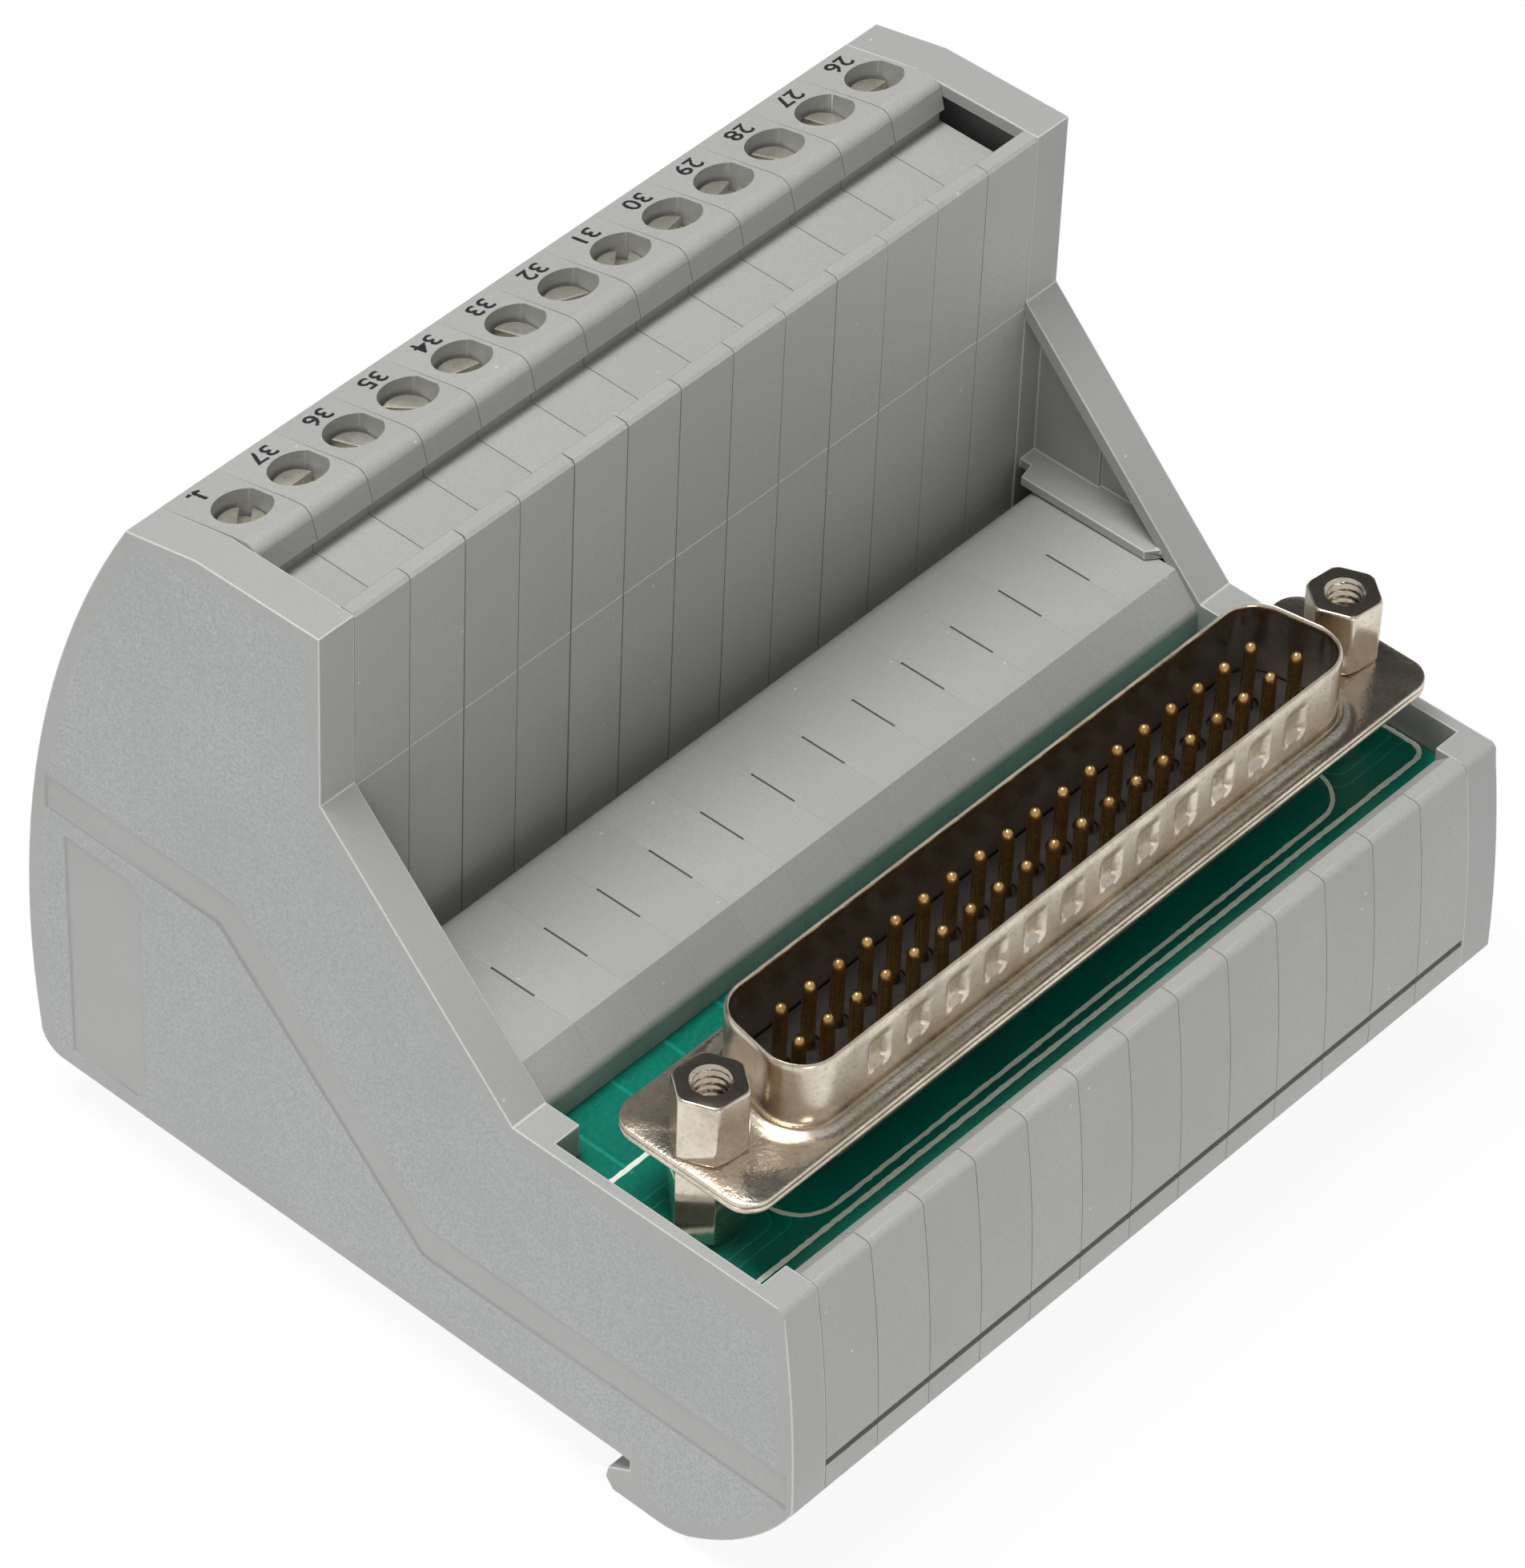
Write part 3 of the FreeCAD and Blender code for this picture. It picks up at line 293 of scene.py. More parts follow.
def metal_finish(name, bright, dark, rough, rough_more, blotch_scale, pit_scale, depth=0.000006):
    """Plated metal, duller and darker in blotches, with fine dark pits."""
    made, tree, shader, place = new_material(name)
    wear = use_group(tree, WEAR, Vector=place, Blotch_Scale=blotch_scale, Pit_Scale=pit_scale)
    tone = blend_colours(tree, wear.outputs["Blotch"], linear(*bright), linear(*dark))
    pitted = blend_colours(tree, maths(tree, "MULTIPLY", wear.outputs["Pit"], 0.35), tone,
                           shifted(dark, -60))
    shader.inputs["Metallic"].default_value = 1.0
    dress(tree, shader, pitted, spread(tree, wear.outputs["Blotch"], 0.0, 1.0, rough, rough_more),
          wear.outputs["Height"], 0.6, depth)
    return made


def board_finish():
    """Green solder mask: a thin glossy film over copper areas that show through a little lighter."""
    made, tree, shader, place = new_material("Solder Mask")
    cloud = noise(tree, place, 140.0, 3.0, 0.5)
    weave = noise(tree, place, 2600.0, 2.0, 0.6)
    tone = blend_colours(tree, spread(tree, cloud, 0.3, 0.7), linear(0, 122, 102), linear(0, 98, 81))
    fine = blend_colours(tree, spread(tree, weave, 0.4, 0.7, 0.0, 0.3), tone, linear(6, 142, 118))
    shader.inputs["IOR"].default_value = 1.5
    shader.inputs["Specular IOR Level"].default_value = 0.32
    dress(tree, shader, fine, spread(tree, weave, 0.3, 0.7, 0.3, 0.42), weave, 0.3, 0.000006)
    return made


def plain_finish(name, tone, rough):
    """One tone with a fine grain in it."""
    made, tree, shader, place = new_material(name)
    grain = noise(tree, place, 1800.0, 3.0, 0.6)
    mixed = blend_colours(tree, spread(tree, grain, 0.3, 0.7), linear(*tone), shifted(tone, 12))
    gloss = spread(tree, grain, 0.3, 0.7, rough - 0.05, rough + 0.08)
    dress(tree, shader, mixed, gloss, grain, 0.4, 0.000004)
    return made


SMOOTH_HOUSING = housing_finish("Housing Smooth", (172, 172, 169), 0.000006, 0.12, 0.46)
ERODED_HOUSING = housing_finish("Cover Eroded", (172, 174, 174), 0.00004, 0.3, 0.5)
PLAIN_COVER = housing_finish("Cover Smooth", (171, 172, 170), 0.000006, 0.08, 0.46)
# The two paler edge materials go on the eased edges: edge wear, and a painted highlight along each edge
COVER_EDGE_WEAR_AND_HIGHLIGHT = housing_finish("Cover Edge Wear And Highlight", (206, 206, 203), 0.000006, 0.12, 0.42)
EDGE_WEAR_AND_HIGHLIGHT = housing_finish("Housing Edge Wear And Highlight", (192, 192, 188), 0.000006, 0.12, 0.42)
BOARD = board_finish()


# How far the smooth part of the plug's sheet reaches from its middle, along and across
SMOOTH_SHEET = (28.9, 4.75)


def shell_finish(name):
    """Tin plated sheet: smooth on the drawn walls, finely hammered on the flat ends of the flange."""
    made = metal_finish(name, (226, 216, 200), (190, 178, 160), 0.16, 0.3, 260.0, 2400.0)
    tree = made.node_tree
    place = tree.nodes.new("ShaderNodeTexCoord").outputs["Object"]
    parts = node(tree, "ShaderNodeSeparateXYZ", {"Vector": place})
    past = []
    for part, middle, smooth in zip(parts.outputs, spot(PLUG_X, PLUG_DEPTH, 0), SMOOTH_SHEET):
        reach = maths(tree, "ABSOLUTE", maths(tree, "SUBTRACT", part, middle))
        past.append(maths(tree, "SUBTRACT", reach, smooth * MM))
    share = spread(tree, maths(tree, "MAXIMUM", *past), 0.0, 0.8 * MM)
    beaten = noise(tree, place, 3400.0, 2.0, 0.6)
    old = next(n for n in tree.nodes if n.type == "BUMP")
    extra = node(tree, "ShaderNodeBump", {"Height": beaten, "Strength": maths(tree, "MULTIPLY", share, 0.85),
                                          "Distance": 0.000026, "Normal": old.outputs[0]})
    shader = next(n for n in tree.nodes if n.type == "BSDF_PRINCIPLED")
    tree.links.new(extra.outputs[0], shader.inputs["Normal"])
    return made


SHELL = shell_finish("Tin Plated Sheet")
BLACK = plain_finish("Insulator Black", (22, 22, 22), 0.42)
GOLD = metal_finish("Pin Gold", (226, 190, 128), (178, 136, 82), 0.24, 0.38, 500.0, 4000.0)
NICKEL = metal_finish("Jack Nickel", (228, 218, 202), (196, 184, 168), 0.1, 0.22, 300.0, 3000.0, 0.000003)
SCREW = metal_finish("Screw Nickel", (228, 226, 214), (192, 188, 174), 0.4, 0.55, 900.0, 4200.0)
CAGE = metal_finish("Cage Zinc", (198, 198, 196), (160, 160, 158), 0.34, 0.5, 500.0, 3000.0)
BAR = metal_finish("Bar Tin", (214, 212, 208), (178, 176, 172), 0.32, 0.46, 400.0, 3000.0)
MARKING = plain_finish("Marking Black", (24, 23, 30), 0.5)
SILK = plain_finish("Silkscreen White", (232, 236, 222), 0.6)
TRACK = plain_finish("Track Under Mask", (0, 134, 112), 0.34)
# Pale colour of the raised crease line on the tall wall: a painted highlight
CREASE_HIGHLIGHT = plain_finish("Housing Crease Painted Highlight", (214, 215, 212), 0.5)
# Dark colour for the faces inside each ledge slit: painted shade in the recess
PAINTED_SLIT_SHADE = plain_finish("Housing Slit Painted Shade", (70, 70, 67), 0.6)

# Geometry helpers


def put(name, mesh, body, *materials):
    """A piece of the scene on one body."""
    mesh.name = name
    piece = link(bpy.data.objects.new(name, mesh))
    if not len(mesh.materials):
        for material in materials:
            mesh.materials.append(material)
    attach(piece, body)
    return piece


def cad_copy(name):
    """A node's mesh with its loose triangles joined and its flat faces made whole."""
    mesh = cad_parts[name].data.copy()
    form = bmesh.new()
    form.from_mesh(mesh)
    bmesh.ops.remove_doubles(form, verts=form.verts, dist=0.000002)
    bmesh.ops.dissolve_limit(form, angle_limit=math.radians(0.5), verts=form.verts, edges=form.edges)
    return form


def round_edges(form, width, least_angle=32.0, shortest=0.2 * MM, index=-1, spared=None, clamp=True):
    """Ease the sharp edges but those spared; the new faces may have a material of their own."""
    sharp = [e for e in form.edges if len(e.link_faces) == 2 and e.calc_length() > shortest
             and e.calc_face_angle(0.0) > math.radians(least_angle) and not (spared and spared(e))]
    bmesh.ops.bevel(form, geom=sharp, offset=width, segments=2, profile=0.6, affect="EDGES",
                    clamp_overlap=clamp, material=index)


def face_outwards(form):
    bmesh.ops.recalc_face_normals(form, faces=form.faces)


def shade(mesh, angle=32.0):
    for face in mesh.polygons:
        face.use_smooth = True
    mesh.set_sharp_from_angle(angle=math.radians(angle))


def plain_mesh(form):
    mesh = bpy.data.meshes.new("form")
    form.to_mesh(mesh)
    form.free()
    return mesh


def mesh_from(form, angle=32.0, flat=False):
    """The form as a smooth shaded mesh; flat keeps the large faces from shading towards their edges."""
    mesh = plain_mesh(form)
    shade(mesh, angle)
    if not flat:
        return mesh
    holder = link(bpy.data.objects.new("form", mesh))
    weighing = holder.modifiers.new("weigh", "WEIGHTED_NORMAL")
    weighing.mode = "FACE_AREA"
    weighing.weight = 100
    weighing.keep_sharp = True
    made = settled(holder)
    bpy.data.meshes.remove(mesh)
    return made


def inside(point, corners):
    """Whether a flat point lies within a closed outline."""
    found = False
    for (x1, y1), (x2, y2) in zip(corners, corners[1:] + corners[:1]):
        if (y1 > point[1]) != (y2 > point[1]) and point[0] < (x2 - x1) * (point[1] - y1) / (y2 - y1) + x1:
            found = not found
    return found


def neighbours(corners):
    """Each corner of a closed outline between the ones before and after it."""
    points = [Vector(corner) for corner in corners]
    return zip(points[-1:] + points[:-1], points, points[1:] + points[:1])


def shrink(corners, step):
    """The corners of a counter-clockwise outline moved inwards by a step."""
    moved = []
    for before, here, after in neighbours(corners):
        first = (here - before).normalized()
        second = (after - here).normalized()
        inward = Vector((-first.y - second.y, first.x + second.x))
        moved.append(tuple(here + inward * (step / (1 + first.dot(second)))))
    return moved


def rounded(corners, rounds, steps=5):
    """An outline with round corners; rounds holds a radius for each corner."""
    made = []
    for (before, here, after), radius in zip(neighbours(corners), rounds):
        first = (before - here).normalized()
        second = (after - here).normalized()
        half = first.angle(second) / 2
        reach = radius / math.tan(half)
        centre = here + (first + second).normalized() * (radius / math.sin(half))
        start = (here + first * reach - centre).normalized()
        end = (here + second * reach - centre).normalized()
        for step in range(steps + 1):
            made.append(tuple(centre + start.slerp(end, step / steps) * radius))
    return made


# Outlines sunk into a cover's outer face, as depths and heights, each with how deep it is. A smooth border,
# as wide as BORDER, runs round the face
BAND = [(0.57, 9.8), (33.2, 9.7), (51.95, 28.0), (68.35, 28.0),
        (68.2, 31.1), (50.4, 31.25), (32.6, 12.95), (0.57, 13.0)]
PANEL = rounded([(59.4, 5.6), (66.6, 5.6), (66.6, 26.4), (59.4, 26.4)], [1.3, 0.25, 0.25, 1.3])
RECESSES = [(BAND, 0.16), (PANEL, 0.14)]
BORDER = 1.15


def gap_to(point, corners):
    """How far a flat point lies from a closed outline."""
    least = 1e9
    for first, second in zip(corners, corners[1:] + corners[:1]):
        start, way = Vector(first), Vector(second) - Vector(first)
        share = min(max((Vector(point) - start).dot(way) / max(way.length_squared, 1e-12), 0.0), 1.0)
        least = min(least, (start + way * share - Vector(point)).length)
    return least


def carve_cover(form, side):
    """Sink the smooth band and the bare panel into the flat outer face of a cover."""
    face = max((f for f in form.faces if f.normal.x * side > 0.99), key=lambda f: f.calc_area())
    rim = [loop.vert for loop in face.loops]
    flat = [section(vert.co) for vert in rim]
    level = face.calc_center_median().x
    form.faces.remove(face)
    if side < 0:
        rim.reverse()
        flat.reverse()
    points, edges, depths, floors = [], [], [], []

    def add_outline(outline, sunk):
        first, count = len(points), len(outline)
        points.extend(outline)
        depths.extend([sunk] * count)
        edges.extend((first + n, first + (n + 1) % count) for n in range(count))

    add_outline(flat, 0.0)
    for corners, depth in RECESSES:
        inner = shrink(corners, depth)
        floors.append((corners, inner))
        add_outline(corners, 0.0)
        add_outline(inner, depth)
    border = [p for p in shrink(flat, BORDER) if gap_to(p, flat) > BORDER * 0.97
              and not any(inside(p, outer) for outer, _ in floors)]
    add_outline(border, 0.0)
    got, _, cells, origins, _, _ = delaunay_2d_cdt([Vector(p) for p in points], edges, [], 0, 0.0001)
    verts = []
    for place, origin in zip(got, origins):
        if origin and min(origin) < len(rim):
            verts.append(rim[min(origin)])
            continue
        if origin:
            sunk = depths[min(origin)]
        else:
            sunk = max([depth for (_, depth), (_, inner) in zip(RECESSES, floors)
                        if inside(place, inner) or gap_to(place, inner) < 0.02] or [0.0])
        verts.append(form.verts.new(spot(0, place.x, place.y)))
        verts[-1].co.x = level - side * sunk * MM
    for cell in cells:
        middle = sum((got[n] for n in cell), Vector((0, 0))) / len(cell)
        if not inside(middle, flat):
            continue
        made = form.faces.new([verts[n] for n in cell])
        smooth = any(inside(middle, outer) for outer, _ in floors) or not inside(middle, border)
        made.material_index = 0 if smooth else 1
    form.normal_update()
    face_outwards(form)


# How far the two slices at each joint of the tall wall stand off the plain gap, at its foot and at its top,
# and how far each is let out to close the joints on the ledge and the top
WALL_GAPS = [(0.0, 0.0), (0.0, -0.01), (-0.03, -0.025), (-0.01, -0.01), (-0.045, -0.035),
             (-0.03, -0.02), (-0.02, -0.015), (-0.02, -0.01), (-0.01, 0.0), (-0.02, -0.01),
             (-0.01, 0.01), (0.0, 0.01), (0.0, 0.0)]
JOINT_CLOSED = 0.026
SAME_PLACE = 0.004


def on_ledge(vert):
    depth, height = section(vert.co)
    return within(depth, LEDGE_DEPTH) and within(height, LEDGE_HEIGHT)


def on_joint(edge):
    """Whether an edge runs along a joint of the ledge, or round a slit in it."""
    first, second = edge.verts
    if not (on_ledge(first) and on_ledge(second)):
        return False
    return abs(first.co.x - second.co.x) < 0.2 * MM


def fit_joints(form, number):
    """Close the joints on the ledge and the top, and open those of the tall wall, each in its own way."""
    near, far = slice_start(number) + SLICE_PLAY, slice_start(number + 1) - SLICE_PLAY
    for side, joint, x in ((-1, number - 1, near), (1, number, far)):
        for vert in form.verts:
            if abs(vert.co.x / MM - x) > SAME_PLACE:
                continue
            depth, height = section(vert.co)
            if on_ledge(vert) or (depth > TOP_DEPTH and height > TOP_HEIGHT):
                vert.co.x += side * JOINT_CLOSED * MM
            elif within(depth, WALL_DEPTH) and 0 < joint < SLICE_COUNT:
                low, high = WALL_GAPS[joint]
                vert.co.x += side * (high if height > WALL_MIDDLE else low) * MM


def open_slit(form, number):
    """Make the slit on the ledge wider and deeper, so that it shows dark."""
    wall = slice_start(number) + SLICE_PLAY + SLIT_SUNK
    for vert in form.verts:
        depth, height = section(vert.co)
        if on_ledge(vert) and abs(vert.co.x / MM - wall) < SAME_PLACE:
            vert.co.x += SLIT_WIDER * MM
        if within(depth, SLIT_DEPTH) and abs(height - SLIT_FLOOR) < 0.01:
            vert.co.z -= SLIT_DEEPER * MM


def in_slit(face, number):
    """Whether a face lies inside the slit of a slice."""
    middle = face.calc_center_median()
    depth, height = section(middle)
    beside = abs(middle.x / MM - slice_start(number) - 0.1) < 0.09
    return beside and within(depth, SLIT_DEPTH) and within(height, SLIT_HEIGHT)


def make_housing():
    for number in SLICES:
        source = "slice_housing_%02d" % number
        form = cad_copy(source)
        open_slit(form, number)
        fit_joints(form, number)
        # The eased edges get the pale edge material: edge wear and a painted highlight
        round_edges(form, 0.06 * MM, index=1, spared=on_joint)
        # Faces inside the slit get the dark painted shade
        for face in form.faces:
            if in_slit(face, number):
                face.material_index = 2
        piece = put("housing_slice_%02d" % number, mesh_from(form, flat=True), "module",
                    SMOOTH_HOUSING, EDGE_WEAR_AND_HIGHLIGHT, PAINTED_SLIT_SHADE)
        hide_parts(source)
    for side, way in (("near", -1), ("far", 1)):
        source = "end_cover_" + side
        form = cad_copy(source)
        # The cover's eased edges get the pale edge material: edge wear and a painted highlight
        round_edges(form, 0.09 * MM, index=2, clamp=False)
        carve_cover(form, way)
        piece = put("housing_cover_" + side, mesh_from(form, 22.0, flat=True), "module", PLAIN_COVER,
                    ERODED_HOUSING, COVER_EDGE_WEAR_AND_HIGHLIGHT)
        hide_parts(source)


make_housing()

# Plug connector


def ring_walls(form, rings):
    """Quads between loops of points that run counter-clockwise, from the first to the last."""
    made = [[form.verts.new(point) for point in ring] for ring in rings]
    for lower, upper in zip(made, made[1:]):
        for n in range(len(lower)):
            after = (n + 1) % len(lower)
            form.faces.new((lower[n], lower[after], upper[after], upper[n]))
    return made


def fill_flat(form, loops, up):
    """A flat sheet between loops of vertices: the first bounds it and the others are holes in it."""
    edges = []
    for loop in loops:
        for n, vert in enumerate(loop):
            after = loop[(n + 1) % len(loop)]
            edges.append(form.edges.get((vert, after)) or form.edges.new((vert, after)))
    made = bmesh.ops.triangle_fill(form, use_beauty=True, use_dissolve=False, edges=edges)
    faces = [f for f in made["geom"] if isinstance(f, bmesh.types.BMFace)]
    form.normal_update()
    for face in faces:
        if face.normal.z * up < 0:
            face.normal_flip()


def circle(x, depth, height, radius, count, turn=0.0):
    return [spot_round(x, depth, height, radius, turn + math.tau * n / count) for n in range(count)]


def plug_outline(size, inset, height, front_steps, side_steps, corner_steps):
    """A level loop of the plug's D shape, counter-clockwise, moved inwards by the inset."""
    length, width, corner = size
    skew = math.sqrt(1 + PLUG_LEAN * PLUG_LEAN)
    long_x = length / 2 - corner * (skew + PLUG_LEAN)
    short_x = length / 2 - corner * skew - (width - corner) * PLUG_LEAN
    side_y = width / 2 - corner
    tilt = math.atan(PLUG_LEAN)
    turns = [(long_x, -side_y, -math.pi / 2, tilt), (short_x, side_y, tilt, math.pi / 2),
             (-short_x, side_y, math.pi / 2, math.pi - tilt),
             (-long_x, -side_y, math.pi - tilt, math.pi * 1.5)]
    radius = corner - inset
    flat = []
    for (x, y, start, end), steps in zip(turns, (side_steps, front_steps // 3, side_steps, front_steps)):
        for n in range(corner_steps + 1):
            angle = start + (end - start) * n / corner_steps
            flat.append((x + radius * math.cos(angle), y + radius * math.sin(angle), steps))
    points = []
    for n, (x, y, steps) in enumerate(flat):
        points.append((x, y))
        if (n + 1) % (corner_steps + 1) == 0:
            x2, y2, _ = flat[(n + 1) % len(flat)]
            points.extend((x + (x2 - x) * k / steps, y + (y2 - y) * k / steps) for k in range(1, steps))
    return [spot(PLUG_X + x, PLUG_DEPTH + y, height) for x, y in points]


def flange_outline(inset, height):
    """A level loop of the flange's outline with its round corners."""
    half_x, half_y, corner = FLANGE
    radius = corner - inset
    points = []
    for x, y, start in ((1, -1, -0.25), (1, 1, 0.0), (-1, 1, 0.25), (-1, -1, 0.5)):
        for n in range(9):
            angle = math.tau * (start + 0.25 * n / 8)
            points.append(spot(PLUG_X + x * (half_x - corner) + radius * math.cos(angle),
                               PLUG_DEPTH + y * (half_y - corner) + radius * math.sin(angle), height))
    return points


def add_flange(form, top, walls):
    """A flange sheet round the drawn walls, with a rounded edge and two bores for the jack screws."""
    edge = [(0.14, 0.0), (0.04, 0.05), (0.0, 0.14)]
    steps = edge + [(inset, FLANGE_SHEET - drop) for inset, drop in reversed(edge)]
    rings = ring_walls(form, [flange_outline(inset, top - drop) for inset, drop in reversed(steps)])
    uppers, lowers = [rings[-1], walls[0]], [rings[0], walls[-1]]
    for x in JACK_X:
        rings = ring_walls(form, [circle(x, PLUG_DEPTH, top - drop, 1.55, 24)[::-1]
                                  for drop in (FLANGE_SHEET, 0.0)])
        uppers.append(rings[1])
        lowers.append(rings[0])
    fill_flat(form, uppers, 1)
    fill_flat(form, lowers, -1)


# The row of dents in the front wall of the shroud
DENT_PITCH = 3.81
DENT_FIRST = -20.6
DENT_COUNT = 12


def dent_depth(x, height):
    """How far a dent presses the front wall in, in millimetres: deepening downwards to a sharp sill."""
    half_width, edge, deepest = 1.02, 0.4, 0.42
    low, sill, high, ease, fade = 34.45, 34.95, 37.35, 0.35, 0.75
    nearest = DENT_FIRST + DENT_PITCH * min(max(round((x - DENT_FIRST) / DENT_PITCH), 0), DENT_COUNT - 1)
    across = min(max((half_width - abs(x - nearest)) / edge, 0.0), 1.0)
    if height < low or height > high:
        return 0.0
    if height < sill:
        fall = (height - low) / (sill - low)
    else:
        fall = 1 - fade * (height - sill) / (high - sill)
        fall *= min(1.0, (high - height) / ease)
    return deepest * fall * across * across * (3 - 2 * across)


def make_front_shell():
    """Drawn sheet: the flange, the shoulder round the shroud's root, and the shroud with a row of dents."""
    form = bmesh.new()
    # Each loop of the section: how far in from the D's outside, and how high
    shoulder = [(-1.45, 32.69), (-1.1, 32.72), (-0.8, 32.83), (-0.5, 32.98), (-0.25, 33.05), (-0.1, 33.02),
                (-0.02, 32.93), (0.0, 33.0)]
    heights = [33.15, 33.6, 34.1, 34.45, 34.62, 34.8, 34.95, 35.15, 35.45, 35.8, 36.15, 36.5, 36.8, 37.0,
               37.2, 37.35, 37.7, 38.0]
    outside = [(0.0, height) for height in heights]
    rim = [(0.015, 38.2), (0.06, 38.35), (0.13, 38.46), (0.2, 38.5),
           (0.27, 38.46), (0.34, 38.35), (0.385, 38.2)]
    inner = [(SHROUD_WALL, height) for height in heights[::-1] + [FLANGE_TOP - FLANGE_SHEET]]
    front = spot(0, PLUG_DEPTH - SHROUD[1] / 2 + SHROUD_WALL + 0.01, 0).y
    rings = []
    for inset, height in shoulder + outside + rim + inner:
        ring = plug_outline(SHROUD, inset, height, 216, 8, 14)
        for point in ring:
            if point.y < front:
                point.y += dent_depth(point.x / MM, height) * MM
        rings.append(ring)
    walls = ring_walls(form, rings)
    add_flange(form, FLANGE_TOP, walls)
    piece = put("plug_sheet_front", mesh_from(form, 38.0), "module", SHELL)
    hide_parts("plug_front_shell")


def make_rear_shell():
    """The shell under the flange: its own flange sheet and a dish with a soft bottom edge."""
    form = bmesh.new()
    top = FLANGE_TOP - FLANGE_SHEET
    floor, inward, climb, sheet = 28.2, 1.24, 2.3, 0.4
    loops = [(0.0, top - FLANGE_SHEET)]
    for n in range(9):
        turn = math.pi / 2 * n / 8
        loops.append((inward * (1 - math.cos(turn)), floor + climb * (1 - math.sin(turn))))
    loops += [(1.3, floor), (1.3, floor + sheet), (0.7, floor + sheet), (sheet, floor + 0.7), (sheet, top)]
    rings = [plug_outline(DISH, inset, height, 64, 8, 12) for inset, height in loops]
    walls = ring_walls(form, rings[::-1])
    add_flange(form, top, walls)
    face_outwards(form)
    piece = put("plug_sheet_rear", mesh_from(form, 38.0), "module", SHELL)
    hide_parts("plug_rear_shell")


def pin_places():
    """Where the pins stand along and across the plug: the long row in front of the short one."""
    long_row = [((n - 9) * PIN_PITCH, -PIN_ROWS) for n in range(19)]
    short_row = [((n - 8.5) * PIN_PITCH, PIN_ROWS) for n in range(18)]
    return [(PLUG_X + x, PLUG_DEPTH + y) for x, y in long_row + short_row]


def make_insulator():
    """The black moulding that holds the pins, with a small sink round each."""
    form = bmesh.new()
    face = 32.55
    steps = [(DISH, 1.35, 27.2), (DISH, 1.35, 28.65), (DISH, 0.46, 28.65), (DISH, 0.46, 32.18),
             (SHROUD, 0.46, 32.18), (SHROUD, 0.46, face - 0.06), (SHROUD, 0.54, face)]
    walls = ring_walls(form, [plug_outline(size, inset, height, 40, 5, 8) for size, inset, height in steps])
    sinks = []
    for x, depth in pin_places():
        sink = ((1.0, 0.53), (0.3, 0.53), (0.3, 0.84), (0.05, 0.86), (0.0, 0.92))
        made = ring_walls(form, [circle(x, depth, face - drop, radius, 20)[::-1] for drop, radius in sink])
        sinks.append(made[-1])
        form.faces.new(made[0][::-1])
    fill_flat(form, [walls[-1]] + sinks, 1)
    fill_flat(form, [walls[0]], -1)
    face_outwards(form)
    piece = put("plug_insulator_face", mesh_from(form, 30.0), "module", BLACK)
    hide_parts("plug_insulator")


def grown(points, tree, inputs):
    """The plain mesh that a Geometry Nodes tree makes from loose points."""
    mesh = bpy.data.meshes.new("points")
    mesh.from_pydata([tuple(point) for point in points], [], [])
    seed = link(bpy.data.objects.new("points", mesh))
    modifier = seed.modifiers.new("grow", "NODES")
    modifier.node_group = tree
    labels = {item.name: item.identifier for item in tree.interface.items_tree if item.in_out == "INPUT"}
    for label, value in inputs.items():
        modifier[labels[label]] = value
    return settled(seed)


def pin_tree():
    """Round pins that stand on the points: a shaft that closes in a rounded tip."""
    tree, entry, leave = group_of(
        "Contact Pins",
        [("Geometry", "Geometry", None), ("Pin Radius", "Float", 0.0005), ("Pin Length", "Float", 0.01),
         ("Tip Length", "Float", 0.0005), ("Sides", "Int", 12), ("Rows", "Int", 14),
         ("Finish", "Material", None)],
        [("Geometry", "Geometry")], "GeometryNodeTree")
    give = entry.outputs
    rows = node(tree, "GeometryNodeCurvePrimitiveLine", {"End": (0.0, 0.0, 1.0)})
    rows = node(tree, "GeometryNodeResampleCurve", {"Curve": rows.outputs[0], "Count": give["Rows"]})
    index = tree.nodes.new("GeometryNodeInputIndex").outputs[0]
    last = maths(tree, "SUBTRACT", give["Rows"], 1.0)
    step = maths(tree, "DIVIDE", maths(tree, "SUBTRACT", index, 1.0), maths(tree, "SUBTRACT", last, 1.0))
    share = maths(tree, "MAXIMUM", step, 0.0)
    angle = maths(tree, "MULTIPLY", share, math.pi / 2)
    straight = maths(tree, "SUBTRACT", give["Pin Length"], give["Tip Length"])
    tip = maths(tree, "MULTIPLY", maths(tree, "SINE", angle), give["Tip Length"])
    climb = maths(tree, "ADD", straight, tip)
    level = maths(tree, "MULTIPLY", climb, maths(tree, "GREATER_THAN", index, 0.5))
    blunt = maths(tree, "MAXIMUM", maths(tree, "COSINE", angle), 0.12)
    around = maths(tree, "MULTIPLY", blunt, give["Pin Radius"])
    place = node(tree, "ShaderNodeCombineXYZ", {"Z": level})
    shaft = node(tree, "GeometryNodeSetPosition",
                 {"Geometry": rows.outputs[0], "Position": place.outputs[0]})
    ring = node(tree, "GeometryNodeCurvePrimitiveCircle", {"Resolution": give["Sides"], "Radius": 1.0})
    made = node(tree, "GeometryNodeCurveToMesh",
                {"Curve": shaft.outputs[0], "Profile Curve": ring.outputs[0],
                 "Scale": around, "Fill Caps": True})
    stood = node(tree, "GeometryNodeInstanceOnPoints",
                 {"Points": give["Geometry"], "Instance": made.outputs[0]})
    real = node(tree, "GeometryNodeRealizeInstances", {"Geometry": stood.outputs[0]})
    dressed = node(tree, "GeometryNodeSetMaterial",
                   {"Geometry": real.outputs[0], "Material": give["Finish"]})
    feed(tree, leave.inputs[0], dressed.outputs[0])
    return tree


